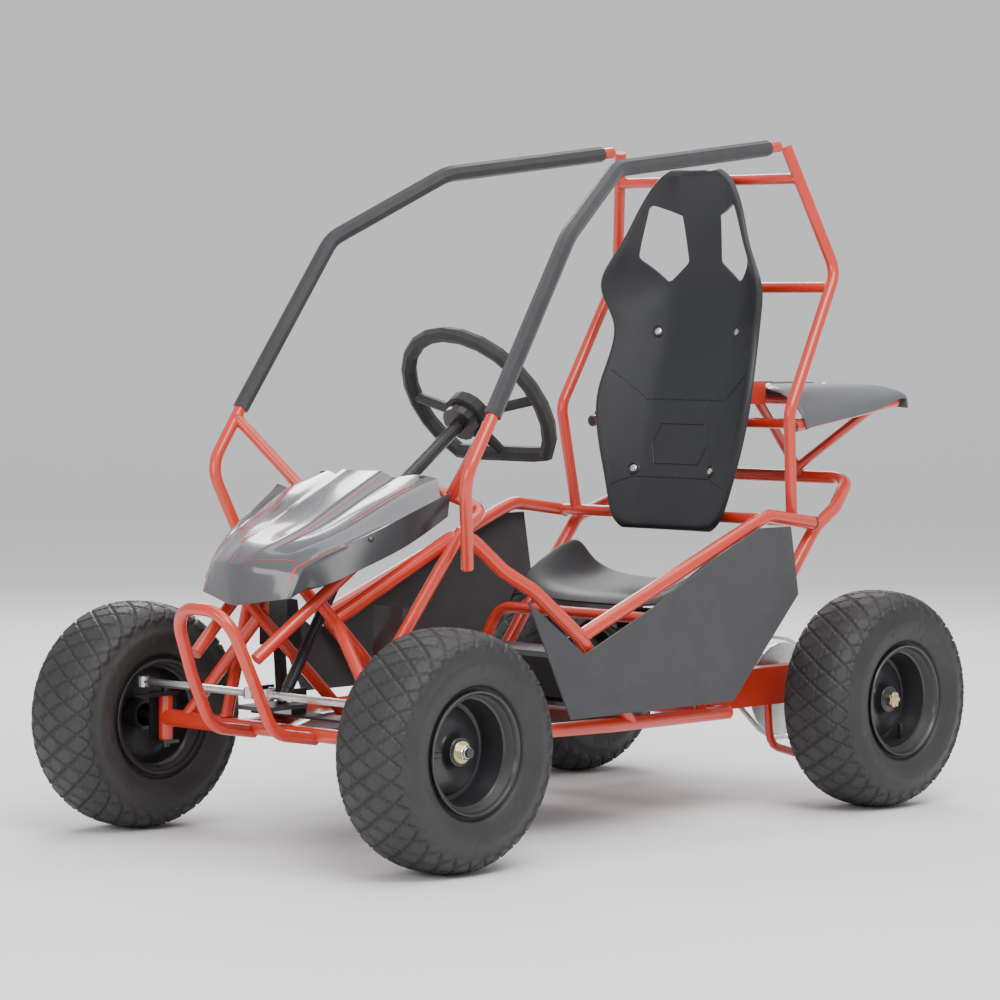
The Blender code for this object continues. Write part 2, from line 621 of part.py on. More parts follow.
def steering():
    """Wheel, column, jointed lower shaft and pitman plate."""
    direction = (COLUMN_TOP - COLUMN_JOINT).normalized()
    column = rod("steering_column", COLUMN_JOINT + direction * 0.009, COLUMN_TOP, RAIL, BLACK_METAL)
    weld(column, rod("boss", COLUMN_TOP - direction * 0.012, COLUMN_TOP + direction * 0.006, 0.030, None))
    pivot(column, COLUMN_TOP)

    ring = []
    for step in range(RING_STEPS):
        angle = 2 * math.pi * step / RING_STEPS
        ring.append(Vector((RING_RADIUS * math.cos(angle), max(RING_RADIUS * math.sin(angle), -RING_FLAT), RING_DISH)))
    wheel = closed_tube("steering_wheel", ring, RING_TUBE, PLASTIC)
    spokes = [rod("spoke", (across, up, RING_DISH), (across * 0.2, up * 0.2, 0.0105), 0.0085, None, 8)
              for across, up in ((RING_RADIUS, 0.012), (-RING_RADIUS, 0.012), (0.0, -RING_FLAT))]
    weld(wheel, rod("hub", (0, 0, -0.002), (0, 0, 0.016), 0.038, None), *spokes)
    turn = direction.to_track_quat("Z", "Y").to_matrix().to_4x4()
    wheel.matrix_world = Matrix.Translation(COLUMN_TOP + direction * 0.0085) @ turn
    for modifier in wheel.modifiers:
        modifier.object.matrix_world = wheel.matrix_world

    down = (SHAFT_FOOT - COLUMN_JOINT).normalized()
    shaft = rod("lower_shaft", COLUMN_JOINT + down * 0.015, SHAFT_FOOT, 0.009, BLACK_METAL)
    weld(shaft, rod("yoke", COLUMN_JOINT + down * 0.0085, COLUMN_JOINT + down * 0.035, 0.013, None),
         box("pitman", (-0.032, -0.572, 0.2125), (0.032, -0.486, 0.2185), None),
         rod("shaft_end", SHAFT_FOOT - down * 0.010, SHAFT_FOOT + down * 0.025, 0.0075, None))
    pivot(shaft, COLUMN_JOINT)


def closed_tube(name, ring, radius, finish):
    """Closed ring of tube through points in one plane."""
    curve = bpy.data.curves.new(name, "CURVE")
    curve.dimensions = "3D"
    curve.bevel_depth = radius
    curve.bevel_resolution = 2
    spline = curve.splines.new("POLY")
    spline.points.add(len(ring) - 1)
    spline.use_cyclic_u = True
    for point, place_on_ring in zip(spline.points, ring):
        point.co = (*place_on_ring, 1)
    guide = bpy.data.objects.new(name + "_curve", curve)
    bpy.context.scene.collection.objects.link(guide)
    evaluated = guide.evaluated_get(bpy.context.evaluated_depsgraph_get())
    form = bmesh.new()
    form.from_mesh(bpy.data.meshes.new_from_object(evaluated))
    bpy.data.objects.remove(guide, do_unlink=True)
    bmesh.ops.remove_doubles(form, verts=form.verts, dist=0.00001)
    return from_bmesh(name, form, finish)


def knuckle(side, sign):
    """C bracket with its kingpin bolt, stub axle and steering arm."""
    def x_range(near, far):
        return sorted((sign * near, sign * far))

    low, high = x_range(0.2835, 0.2895)
    made = box("knuckle_" + side, (low, FRONT_Y - 0.016, AXLE_Z - 0.0405), (high, FRONT_Y + 0.016, AXLE_Z + 0.0405),
               BLACK_METAL)
    low, high = x_range(0.2550, 0.2885)
    for up in (1, -1):
        inner, outer = sorted((AXLE_Z + up * 0.0345, AXLE_Z + up * 0.0398))
        weld(made, box("ear", (low, FRONT_Y - 0.0155, inner), (high, FRONT_Y + 0.0155, outer), None))
    weld(made, rod("kingpin", (sign * KINGPIN_X, FRONT_Y, AXLE_Z - 0.046), (sign * KINGPIN_X, FRONT_Y, AXLE_Z + 0.046),
                   KINGPIN_BOLT, None, 12))
    weld(made, rod("stub", (sign * 0.286, FRONT_Y, AXLE_Z), (sign * 0.386, FRONT_Y, AXLE_Z), STUB_RADIUS, None))
    low, high = x_range(0.2515, 0.2685)
    weld(made, box("arm", (low, TIE_ROD_Y - 0.010, AXLE_Z + 0.0348), (high, FRONT_Y - 0.010, AXLE_Z + 0.0395), None))
    pivot(made, (sign * KINGPIN_X, FRONT_Y, AXLE_Z))


def tie_rod(side, sign):
    made = rod("tie_rod_" + side, (sign * 0.020, TIE_ROD_Y, TIE_ROD_Z), (sign * 0.260, TIE_ROD_Y, TIE_ROD_Z), 0.006,
               ZINC, 10)
    for x in (0.020, 0.260):
        weld(made, rod("end", (sign * x, TIE_ROD_Y, TIE_ROD_Z - 0.008), (sign * x, TIE_ROD_Y, TIE_ROD_Z + 0.008),
                       0.0095, None, 12))
    pivot(made, (sign * 0.260, TIE_ROD_Y, TIE_ROD_Z))


def wheel(end, side, sign):
    """Tyre and rim of one corner."""
    front = end == "front"
    centre = wheel_centre(front, sign)
    bore = STUB_RADIUS + 0.0005 if front else LIVE_AXLE_RADIUS + 0.0004
    outer_half = [(0.0785, 0.0520), (0.0890, 0.0560), (0.105, 0.0665), (0.128, TYRE_HALF_WIDTH), (0.148, 0.0700),
                  (0.163, 0.0600), (0.1725, 0.0420), (TYRE_RADIUS, 0.0160)]
    tyre = outer_half + [(radius, -along) for radius, along in reversed(outer_half)]
    turned("tyre_%s_%s" % (end, side), tyre, centre, TYRE_STEPS, RUBBER, sign)
    rim = [(0.0860, 0.0600), (0.0860, 0.0575), (0.0765, 0.0550), (0.0765, -0.0550), (0.0860, -0.0575),
           (0.0860, -0.0600), (0.0720, -0.0580), (0.0720, 0.0000), (0.0400, 0.0110), (0.0200, 0.0110),
           (0.0200, -0.0200), (bore, -0.0200), (bore, 0.0330), (0.0200, 0.0330), (0.0200, 0.0145), (0.0420, 0.0145),
           (0.0720, 0.0040), (0.0720, 0.0580)]
    turned("rim_%s_%s" % (end, side), rim, centre, RIM_STEPS, BLACK_METAL, sign)
    nut_radius = 0.014 if front else 0.0195
    start = centre + Vector((sign * 0.0335, 0, 0))
    end_point = start + Vector((sign * 0.010, 0, 0))
    nut = rod("hub_nut_%s_%s" % (end, side), start, end_point, nut_radius, ZINC, 6)
    cut(nut, rod("thread", start - Vector((sign * 0.01, 0, 0)), end_point + Vector((sign * 0.01, 0, 0)),
                 (STUB_RADIUS if front else LIVE_AXLE_RADIUS) + 0.0004, None))
    pivot(nut, centre)


def pedal(name, x, y):
    """Foot pedal on a cross pin low in the nose."""
    made = rod(name, (x - 0.030, y, 0.215), (x + 0.030, y, 0.215), 0.008, PLASTIC)
    lever = [(y - 0.008, 0.213), (y + 0.006, 0.213), (y - 0.006, 0.350), (y - 0.018, 0.350)]
    weld(made, plate("lever", lever, x - 0.007, x + 0.007, None))
    pad = [(y - 0.020, 0.290), (y + 0.014, 0.286), (y + 0.002, 0.362), (y - 0.020, 0.366)]
    weld(made, plate("pad", pad, x - 0.031, x + 0.031, None))
    pivot(made, (x, y, 0.215))


def pedal_bracket():
    """Plate on the footwell floor with two ears for each pedal's pin."""
    base = box("pedal_bracket", (-0.170, PEDAL_Y - 0.025, 0.1838), (0.170, PEDAL_Y + 0.025, 0.1875), BLACK_METAL)
    for x in (PEDAL_X, -PEDAL_X):
        for offset in (-0.0365, 0.0365):
            weld(base, box("ear", (x + offset - 0.0015, PEDAL_Y - 0.015, 0.186),
                           (x + offset + 0.0015, PEDAL_Y + 0.015, 0.226), None))


PEDAL_X = 0.125
PEDAL_Y = -0.390


def brake_cable():
    """Cable from the brake pedal along the floor to the caliper."""
    route = [(0.060, -0.405, 0.172), (0.020, -0.350, 0.170), (-0.120, -0.200, 0.168), (-0.205, 0.000, 0.168),
             (-0.215, 0.150, 0.176), (-0.205, 0.240, 0.215), (-0.200, 0.350, 0.250), (-0.150, 0.420, 0.290),
             (-0.105, 0.4405, 0.2545)]
    tube("brake_cable", route, 0.003, PLASTIC, 0.04, 6)


def stand_on_origin():
    """Move the kart so that the middle of its footprint is at the origin."""
    for collection in (PARTS, CUTTERS):
        for made in collection.objects:
            made.matrix_world = Matrix.Translation((0, -FOOTPRINT_MIDDLE_Y, 0)) @ made.matrix_world


front_beam()
bumper()
for piece in (nose_frame, front_rail, cage_side, foam_pad, side_net, axle_carrier, rack_leg,
              knuckle, tie_rod):
    both_sides(piece)
lower_frame()
side_rails()
rear_loop()
rear_hoop()
dash_hoop()
floor_pan()
seat_base()
seat_back()
hood()
battery_box()
motor()
chain()
rear_axle()
brake_caliper()
rack()
rack_panel()
steering()
for end_name in ("front", "rear"):
    both_sides(lambda side, sign: wheel(end_name, side, sign))
pedal("brake_pedal", PEDAL_X, PEDAL_Y)
pedal("throttle_pedal", -PEDAL_X, PEDAL_Y)
pedal_bracket()
brake_cable()
bpy.context.view_layer.update()
stand_on_origin()
print("objects", len(PARTS.objects))
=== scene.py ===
"""Looks of the off-road kart: smooth painted tubes, moulded plastic, nets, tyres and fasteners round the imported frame.

Metres, in the row frame: the kart faces -Y, its left side is +X, and it stands on Z = 0. Routes are written
from the middle of the wheelbase, as the kart was laid out, and at() moves them into the row frame.
"""

import math
import random

import bmesh
import bpy
from mathutils import Matrix, Vector


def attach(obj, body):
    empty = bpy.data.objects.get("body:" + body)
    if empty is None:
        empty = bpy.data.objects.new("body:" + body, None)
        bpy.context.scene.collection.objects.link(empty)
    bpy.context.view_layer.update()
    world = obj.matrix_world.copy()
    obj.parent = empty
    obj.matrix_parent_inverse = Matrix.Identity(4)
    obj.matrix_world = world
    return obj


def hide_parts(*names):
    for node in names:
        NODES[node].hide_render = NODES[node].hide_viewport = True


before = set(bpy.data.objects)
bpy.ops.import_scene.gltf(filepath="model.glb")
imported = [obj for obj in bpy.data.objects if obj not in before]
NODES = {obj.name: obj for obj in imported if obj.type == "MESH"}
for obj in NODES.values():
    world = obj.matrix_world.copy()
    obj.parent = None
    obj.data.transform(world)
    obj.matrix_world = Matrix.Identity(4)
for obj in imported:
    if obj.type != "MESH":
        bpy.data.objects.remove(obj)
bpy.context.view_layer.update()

# Layout shared with the frame
MIDDLE_Y = 0.0176
FRONT_Y = -0.503
REAR_Y = 0.503
AXLE_Z = 0.17638
FRONT_X = 0.337
REAR_X = 0.333
TUBE = 0.0095
RAIL = 0.011


def at(x, y, z):
    """A point of the layout in the row frame."""
    return Vector((x, y - MIDDLE_Y, z))


# ---------------------------------------------------------------- camera, light and floor
CAMERA_YAW = math.radians(43.50)
CAMERA_PITCH = math.radians(-2.96)
CAMERA_ROLL = math.radians(0.2)


def make_camera():
    data = bpy.data.cameras.new("camera")
    data.sensor_width = 36
    data.lens = 3623 / 1000 * 36
    data.clip_end = 60
    camera = bpy.data.objects.new("camera", data)
    level = math.cos(CAMERA_PITCH)
    forward = Vector((-math.sin(CAMERA_YAW) * level, math.cos(CAMERA_YAW) * level, math.sin(CAMERA_PITCH)))
    turn = forward.to_track_quat("-Z", "Y") @ Matrix.Rotation(CAMERA_ROLL, 3, "Z").to_quaternion()
    camera.matrix_world = Matrix.Translation(at(3.942, -4.191, 0.802)) @ turn.to_matrix().to_4x4()
    bpy.context.scene.collection.objects.link(camera)
    bpy.context.scene.camera = camera


def make_light(name, place, target, size, watts, tint=(1, 1, 1)):
    data = bpy.data.lights.new(name, "AREA")
    data.shape = "RECTANGLE"
    data.size, data.size_y = size
    data.energy = watts
    data.color = tint
    light = bpy.data.objects.new(name, data)
    look = (Vector(target) - Vector(place)).to_track_quat("-Z", "Y")
    light.matrix_world = Matrix.Translation(place) @ look.to_matrix().to_4x4()
    bpy.context.scene.collection.objects.link(light)


def make_studio():
    world = bpy.data.worlds.new("studio")
    bpy.context.scene.world = world
    world.use_nodes = True
    world.node_tree.nodes["Background"].inputs["Color"].default_value = (0.96, 0.97, 1.0, 1)
    world.node_tree.nodes["Background"].inputs["Strength"].default_value = 0.72
    make_light("key", (2.6, -1.2, 3.4), (0, 0, 0.4), (2.6, 1.8), 125)
    make_light("front_fill", (0.6, -4.6, 1.9), (0, 0, 0.4), (3.0, 1.6), 62)
    make_light("rim_light", (-2.6, 2.2, 2.6), (0, 0, 0.6), (2.2, 1.4), 90)
    make_light("top", (0.2, 0.6, 4.2), (0, 0, 0), (3.4, 3.4), 80)
    form = bmesh.new()
    reach = 14
    back = 9.0
    rows = [(-reach, 0.0), (back, 0.0)]
    for step in range(1, 9):
        angle = math.pi / 2 * step / 8
        rows.append((back + 3 * math.sin(angle), 3 * (1 - math.cos(angle))))
    rows.append((back + 3, 12))
    turn = Matrix.Rotation(CAMERA_YAW, 4, "Z")
    strip = [[form.verts.new(turn @ Vector((x, y, z - 0.0005))) for x in (-reach, reach)] for y, z in rows]
    for low, high in zip(strip, strip[1:]):
        form.faces.new((low[0], low[1], high[1], high[0]))
    mesh = bpy.data.meshes.new("floor")
    form.to_mesh(mesh)
    form.free()
    mesh.shade_smooth()
    floor = bpy.data.objects.new("floor", mesh)
    bpy.context.scene.collection.objects.link(floor)
    paper = bpy.data.materials.new("paper")
    paper.use_nodes = True
    shader = paper.node_tree.nodes["Principled BSDF"]
    shader.inputs["Base Color"].default_value = (0.93, 0.93, 0.93, 1)
    shader.inputs["Roughness"].default_value = 0.85
    mesh.materials.append(paper)


make_camera()
make_studio()


# ---------------------------------------------------------------- materials
def node(tree, kind, **values):
    made = tree.nodes.new(kind)
    for name, value in values.items():
        if name in made.inputs:
            made.inputs[name].default_value = value
        else:
            setattr(made, name, value)
    return made


def finish(name, colour, second, rough, metallic=0.0, blotch=9.0, grain=900.0, grain_depth=0.00004,
           rough_spread=0.08, coat=0.0, coat_rough=0.05, sheen=0.0, specular=0.5, stretch=(1, 1, 1)):
    """Procedural finish: two tones mixed by soft blotches, fine grain in the relief and in the gloss."""
    made = bpy.data.materials.new(name)
    made.use_nodes = True
    tree = made.node_tree
    shader = tree.nodes["Principled BSDF"]
    shader.inputs["Metallic"].default_value = metallic
    shader.inputs["Coat Weight"].default_value = coat
    shader.inputs["Coat Roughness"].default_value = coat_rough
    shader.inputs["Sheen Weight"].default_value = sheen
    shader.inputs["Specular IOR Level"].default_value = specular
    place = node(tree, "ShaderNodeTexCoord")
    scale = node(tree, "ShaderNodeMapping")
    scale.inputs["Scale"].default_value = stretch
    tree.links.new(place.outputs["Object"], scale.inputs["Vector"])
    wide = node(tree, "ShaderNodeTexNoise", Scale=blotch, Detail=5.0, Roughness=0.6)
    fine = node(tree, "ShaderNodeTexNoise", Scale=grain, Detail=3.0, Roughness=0.7)
    for noise in (wide, fine):
        tree.links.new(scale.outputs["Vector"], noise.inputs["Vector"])
    ramp = node(tree, "ShaderNodeValToRGB")
    ramp.color_ramp.elements[0].position = 0.32
    ramp.color_ramp.elements[1].position = 0.70
    ramp.color_ramp.elements[0].color = (*colour, 1)
    ramp.color_ramp.elements[1].color = (*second, 1)
    tree.links.new(wide.outputs["Fac"], ramp.inputs["Fac"])
    tree.links.new(ramp.outputs["Color"], shader.inputs["Base Color"])
    spread = node(tree, "ShaderNodeMapRange")
    spread.inputs["To Min"].default_value = max(rough - rough_spread, 0.02)
    spread.inputs["To Max"].default_value = min(rough + rough_spread, 1.0)
    tree.links.new(fine.outputs["Fac"], spread.inputs["Value"])
    tree.links.new(spread.outputs["Result"], shader.inputs["Roughness"])
    bump = node(tree, "ShaderNodeBump", Strength=0.9, Distance=grain_depth)
    tree.links.new(fine.outputs["Fac"], bump.inputs["Height"])
    tree.links.new(bump.outputs["Normal"], shader.inputs["Normal"])
    return made


PAINT = finish("red_powder_coat", (0.60, 0.036, 0.016), (0.66, 0.045, 0.020), 0.30, grain=650, grain_depth=0.00006,
               coat=0.55, coat_rough=0.12)
BLACK_PAINT = finish("black_paint", (0.014, 0.014, 0.015), (0.022, 0.022, 0.023), 0.32, grain=700, coat=0.25,
                     coat_rough=0.15)
RIM_PAINT = finish("rim_paint", (0.020, 0.020, 0.022), (0.027, 0.027, 0.029), 0.36, grain=600, coat=0.3,
                   coat_rough=0.22)
RUBBER = finish("tyre_rubber", (0.020, 0.020, 0.020), (0.031, 0.030, 0.029), 0.56, grain=420, grain_depth=0.00010,
                blotch=14, rough_spread=0.14)
FOAM = finish("foam_sleeve", (0.022, 0.022, 0.024), (0.032, 0.032, 0.034), 0.62, grain=1300, grain_depth=0.00022,
              blotch=30, sheen=0.15)
GRIP = finish("foam_grip", (0.012, 0.012, 0.011), (0.024, 0.023, 0.021), 0.66, grain=900, grain_depth=0.00035,
              blotch=40, sheen=0.1)
SEAT = finish("seat_plastic", (0.015, 0.016, 0.018), (0.022, 0.023, 0.026), 0.46, grain=1500, grain_depth=0.00012,
              blotch=5)
COWL = finish("cowl_gloss", (0.075, 0.077, 0.082), (0.088, 0.090, 0.096), 0.20, grain=300, grain_depth=0.00001,
              blotch=4, coat=0.8, coat_rough=0.06, rough_spread=0.03)
COWL_DARK = finish("cowl_side", (0.022, 0.022, 0.024), (0.030, 0.030, 0.033), 0.34, grain=800, grain_depth=0.00003,
                   coat=0.2, coat_rough=0.2)
DECK = finish("deck_plastic", (0.090, 0.092, 0.098), (0.115, 0.118, 0.125), 0.34, grain=700, grain_depth=0.00006,
              blotch=6, coat=0.3, coat_rough=0.2)
ZINC = finish("zinc_steel", (0.55, 0.55, 0.54), (0.70, 0.70, 0.68), 0.30, metallic=1.0, blotch=60, grain=400)
GOLD_ZINC = finish("yellow_zinc", (0.50, 0.40, 0.20), (0.66, 0.54, 0.30), 0.34, metallic=1.0, blotch=80, grain=500)
CLOTH = finish("net_cloth", (0.014, 0.014, 0.016), (0.024, 0.025, 0.027), 0.80, grain=1400, grain_depth=0.0003,
               blotch=25, sheen=0.4)
CABLE = finish("cable_sheath", (0.010, 0.010, 0.011), (0.016, 0.016, 0.017), 0.42, grain=500)
STRIPE = finish("stripe_red", (0.50, 0.020, 0.025), (0.58, 0.030, 0.032), 0.30, coat=0.6, coat_rough=0.08)


# ---------------------------------------------------------------- mesh helpers
def piece(name, form, look, body="chassis", smooth=35.0):
    """A bmesh as a named object that rides on a body."""
    bmesh.ops.recalc_face_normals(form, faces=form.faces)
    mesh = bpy.data.meshes.new(name)
    form.to_mesh(mesh)
    form.free()
    for finish_of in look if isinstance(look, (list, tuple)) else [look]:
        mesh.materials.append(finish_of)
    mesh.shade_smooth()
    if smooth is not None:
        mesh.set_sharp_from_angle(angle=math.radians(smooth))
    made = bpy.data.objects.new(name, mesh)
    bpy.context.scene.collection.objects.link(made)
    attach(made, body)
    return made


def mirrored(points):
    return [(-p[0], p[1], p[2]) for p in points]


def side_route(points, sign):
    return points if sign > 0 else mirrored(points)


def rounded(points, bend, steps=9):
    """Route with each corner as an arc, as a tube bender leaves it."""
    corners = [Vector(point) for point in points]
    route = [corners[0]]
    for before, corner, after in zip(corners, corners[1:], corners[2:]):
        inward = (before - corner).normalized()
        outward = (after - corner).normalized()
        half_turn = inward.angle(outward) / 2
        reach = min(bend / math.tan(half_turn), (before - corner).length * 0.45, (after - corner).length * 0.45)
        radius = reach * math.tan(half_turn)
        middle = corner + (inward + outward).normalized() * (radius / math.sin(half_turn))
        start = (corner + inward * reach - middle).normalized()
        end = (corner + outward * reach - middle).normalized()
        for step in range(steps + 1):
            route.append(middle + start.slerp(end, step / steps) * radius)
    route.append(corners[-1])
    return route


def sweep(form, route, radius, sides=20, cap=True, section=None, closed=False, up=None):
    """Adds a tube along a route. radius may be a number or one number for each point of the route."""
    radii = radius if isinstance(radius, (list, tuple)) else [radius] * len(route)
    count = len(route)
    tangents = []
    for index in range(count):
        if closed:
            ahead, behind = route[(index + 1) % count], route[index - 1]
        else:
            ahead, behind = route[min(index + 1, count - 1)], route[max(index - 1, 0)]
        tangents.append((ahead - behind).normalized())
    normal = up.copy() if up else tangents[0].orthogonal()
    rings = []
    outline = section or [(math.cos(2 * math.pi * k / sides), math.sin(2 * math.pi * k / sides)) for k in range(sides)]
    for point, tangent, size in zip(route, tangents, radii):
        normal = (normal - tangent * normal.dot(tangent)).normalized()
        other = tangent.cross(normal)
        rings.append([form.verts.new(point + (normal * a + other * b) * size) for a, b in outline])
    pairs = list(zip(rings, rings[1:]))
    if closed:
        pairs.append((rings[-1], rings[0]))
    many = len(outline)
    for ring, following in pairs:
        for k in range(many):
            form.faces.new((ring[k], ring[(k + 1) % many], following[(k + 1) % many], following[k]))
    if cap and not closed:
        form.faces.new(rings[0][::-1])
        form.faces.new(rings[-1])
    return rings


def add_tube(form, points, radius, bend=0.045, sides=20, cap=True):
    route = [at(*point) for point in rounded(points, bend)]
    sweep(form, route, radius, sides, cap)


def add_lathe(form, profile, origin, axis, steps=48, closed=True):
    """Adds a turned shape. The profile gives (radius, distance along the axis)."""
    axis = Vector(axis).normalized()
    across = axis.orthogonal().normalized()
    other = axis.cross(across)
    rings = []
    for step in range(steps):
        angle = 2 * math.pi * step / steps
        out = across * math.cos(angle) + other * math.sin(angle)
        rings.append([form.verts.new(Vector(origin) + axis * along + out * radius) for radius, along in profile])
    count = len(profile)
    for ring, following in zip(rings, rings[1:] + rings[:1]):
        for k in range(count if closed else count - 1):
            a, b = ring[k], ring[(k + 1) % count]
            c, d = following[(k + 1) % count], following[k]
            form.faces.new((a, b, c, d))
    bmesh.ops.remove_doubles(form, verts=form.verts, dist=0.000001)


def add_hex_bolt(form, point, direction, across=0.010, height=0.005, washer=True):
    """Adds a hexagon bolt head on a washer, its underside at the point."""
    direction = Vector(direction).normalized()
    base = Vector(point)
    if washer:
        add_lathe(form, [(0.0005, 0), (across * 0.95, 0), (across * 0.95, 0.0012), (0.0005, 0.0012)], base, direction,
                  20)
        base = base + direction * 0.0012
    side = direction.orthogonal().normalized()
    other = direction.cross(side)
    rings = []
    for along, size in ((0, 0.577), (height * 0.8, 0.577), (height, 0.50)):
        rings.append([form.verts.new(base + direction * along + (side * math.cos(k * math.pi / 3)
                                                                + other * math.sin(k * math.pi / 3)) * across * size)
                      for k in range(6)])
    for ring, following in zip(rings, rings[1:]):
        for k in range(6):
            form.faces.new((ring[k], ring[(k + 1) % 6], following[(k + 1) % 6], following[k]))
    form.faces.new(rings[-1])
    form.faces.new(rings[0][::-1])


def seam(form, end, toward, radius, line_a, line_b, other_radius, bead=0.0016):
    """Adds the weld bead where a tube that runs from toward to end meets a straight tube."""
    end, toward, line_a, line_b = at(*end), at(*toward), at(*line_a), at(*line_b)
    heading = (end - toward).normalized()
    line = (line_b - line_a).normalized()
    side = heading.cross(line)
    if side.length < 0.05:
        return
    side.normalize()
    other = heading.cross(side)
    ring = []
    for step in range(28):
        angle = 2 * math.pi * step / 28
        start = toward + (side * math.cos(angle) + other * math.sin(angle)) * radius
        offset = start - line_a
        flat_offset = offset - line * offset.dot(line)
        flat_heading = heading - line * heading.dot(line)
        a = flat_heading.dot(flat_heading)
        b = 2 * flat_offset.dot(flat_heading)
        c = flat_offset.dot(flat_offset) - other_radius ** 2
        under = b * b - 4 * a * c
        if under < 0 or a < 0.000001:
            return
        ring.append(start + heading * ((-b - math.sqrt(under)) / (2 * a)))
    sizes = [bead * (0.8 + 0.35 * math.sin(step * 2.7) ** 2) for step in range(28)]
    sweep(form, ring, sizes, 8, closed=True)


# ---------------------------------------------------------------- painted tubes
APEX = (0.215, -0.345, 0.480)
NODE = (0.279, -0.155, 0.3135)
JUNCTION = (0.080, -0.475, 0.347)
BUMPER = [(0.067, -0.503, 0.170), (0.068, -0.589, 0.184), (0.067, -0.628, 0.265), (0.056, -0.6725, 0.369)]
BUMPER += mirrored(BUMPER)[::-1]
NOSE_STRUT = [(0.066, -0.622, 0.296), (0.100, -0.450, 0.430)]
FLOOR_STRUT = [(0.083, -0.515, 0.379), (0.077, -0.300, 0.176)]
BEAM_BRACE = [(0.220, -0.503, 0.182), JUNCTION]
FRONT_RAIL = [JUNCTION, APEX, (0.240, -0.282, 0.417), (0.265, -0.241, 0.386), NODE, (0.262, -0.020, 0.174)]
FRONT_POST = [APEX, (0.133, -0.499, 0.186)]
SIDE_RAIL = [(0.272, 0.415, 0.463), (0.278, 0.290, 0.480), (0.279, 0.255, 0.468), NODE]
LOWER_RAIL = [(0.120, -0.503, 0.172), (0.130, -0.380, 0.172), (0.245, -0.205, 0.172), (0.262, -0.060, 0.171),
              (0.262, 0.215, 0.170)]
REAR_LOOP = [(0.258, 0.216, 0.193), (0.260, 0.300, 0.297), (0.260, 0.432, 0.452), (0.240, 0.510, 0.482),
             (0.198, 0.600, 0.527)]
REAR_LOOP += mirrored(REAR_LOOP)[::-1]
HOOP_LEG = [(0.237, 0.402, 0.470), (0.250, 0.378, 0.643), (0.239, 0.509, 0.871), (0.181, 0.450, 1.075)]
HOOP_TOP = [(0.196, 0.465, 1.023), (-0.196, 0.465, 1.023)]
HOOP_MIDDLE = [(0.242, 0.494, 0.845), (-0.242, 0.494, 0.845)]
REAR_CROSS = [(0.270, 0.402, 0.4655), (-0.270, 0.402, 0.4655)]
CAGE = [(0.1815, 0.428, 1.074), (0.185, 0.029, 1.026), (0.257, -0.161, 0.918), (0.274, -0.347, 0.643),
        (0.276, -0.402, 0.559), (0.240, -0.359, 0.425)]
CAGE_BRACE = [(0.274, -0.351, 0.637), (0.165, -0.316, 0.530)]
DASH_HOOP = [(0.2145, -0.340, 0.484), (0.207, -0.287, 0.508), (0.150, -0.318, 0.532)]
DASH_HOOP += mirrored(DASH_HOOP)[::-1]
SEAT_HOOP = [(0.262, 0.150, 0.1705), (0.205, 0.178, 0.313), (-0.205, 0.178, 0.313), (-0.262, 0.150, 0.1705)]
SEAT_CROSS = [(0.258, 0.334, 0.3365), (-0.258, 0.334, 0.3365)]
LOWER_CROSS = [(0.262, 0.206, 0.170), (-0.262, 0.206, 0.170)]
RACK_SIDE = [(0.220, 0.423, 0.617), (0.220, 0.700, 0.655)]
RACK_FRONT = [(0.220, 0.455, 0.6214), (-0.220, 0.455, 0.6214)]
RACK_REAR = [(0.220, 0.690, 0.6536), (-0.220, 0.690, 0.6536)]
RACK_BRACE = [(0.100, 0.585, 0.543), (0.2195, 0.640, 0.6468)]


def tubes(name, routes, replaced, look=PAINT):
    """One object for the tubes of a frame piece. Each route comes with its radius and bend."""
    form = bmesh.new()
    for points, radius, bend in routes:
        add_tube(form, points, radius, bend)
    made = piece(name, form, look, smooth=50)
    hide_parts(*replaced)
    return made


def make_frame_tubes():
    tubes("bumper_tube", [(BUMPER, TUBE, 0.05)], ["bumper_loop"])
    for side, sign in (("left", 1), ("right", -1)):
        def route(points):
            return side_route(points, sign)

        tubes("nose_struts_" + side, [(route(NOSE_STRUT), TUBE, 0.04), (route(FLOOR_STRUT), TUBE, 0.04),
                                      (route(BEAM_BRACE), TUBE * 0.98, 0.04)], ["nose_frame_" + side])
        tubes("front_rail_tube_" + side, [(route(FRONT_RAIL), RAIL, 0.035), (route(FRONT_POST), TUBE, 0.04)],
              ["front_rail_" + side])
        form = bmesh.new()
        cage = [at(*point) for point in rounded(route(CAGE), 0.06)]
        sweep(form, cage, TUBE)
        add_tube(form, route(CAGE_BRACE), TUBE * 0.97)
        made = piece("cage_roof_" + side, form, PAINT, smooth=50)
        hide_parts("cage_tube_" + side)
    tubes("lower_frame_tubes", [(LOWER_RAIL, RAIL, 0.06), (mirrored(LOWER_RAIL), RAIL, 0.06),
                                (LOWER_CROSS, RAIL * 0.95, 0.04), (SEAT_HOOP, TUBE, 0.04)], ["lower_frame"])
    tubes("side_rail_tubes", [(SIDE_RAIL, RAIL, 0.05), (mirrored(SIDE_RAIL), RAIL, 0.05), (REAR_CROSS, TUBE, 0.04)],
          ["side_rails"])
    tubes("rear_loop_tube", [(REAR_LOOP, RAIL, 0.05), (SEAT_CROSS, TUBE, 0.04)], ["rear_loop"])
    tubes("roll_hoop_tubes", [(HOOP_LEG, TUBE, 0.05), (mirrored(HOOP_LEG), TUBE, 0.05), (HOOP_TOP, TUBE * 0.95, 0.04),
                              (HOOP_MIDDLE, TUBE * 0.95, 0.04)], ["rear_hoop"])
    tubes("rack_frame_tubes", [(RACK_SIDE, TUBE, 0.04), (mirrored(RACK_SIDE), TUBE, 0.04),
                               (RACK_FRONT, TUBE * 0.9, 0.04), (RACK_REAR, TUBE * 0.95, 0.04)], ["rack_frame"])


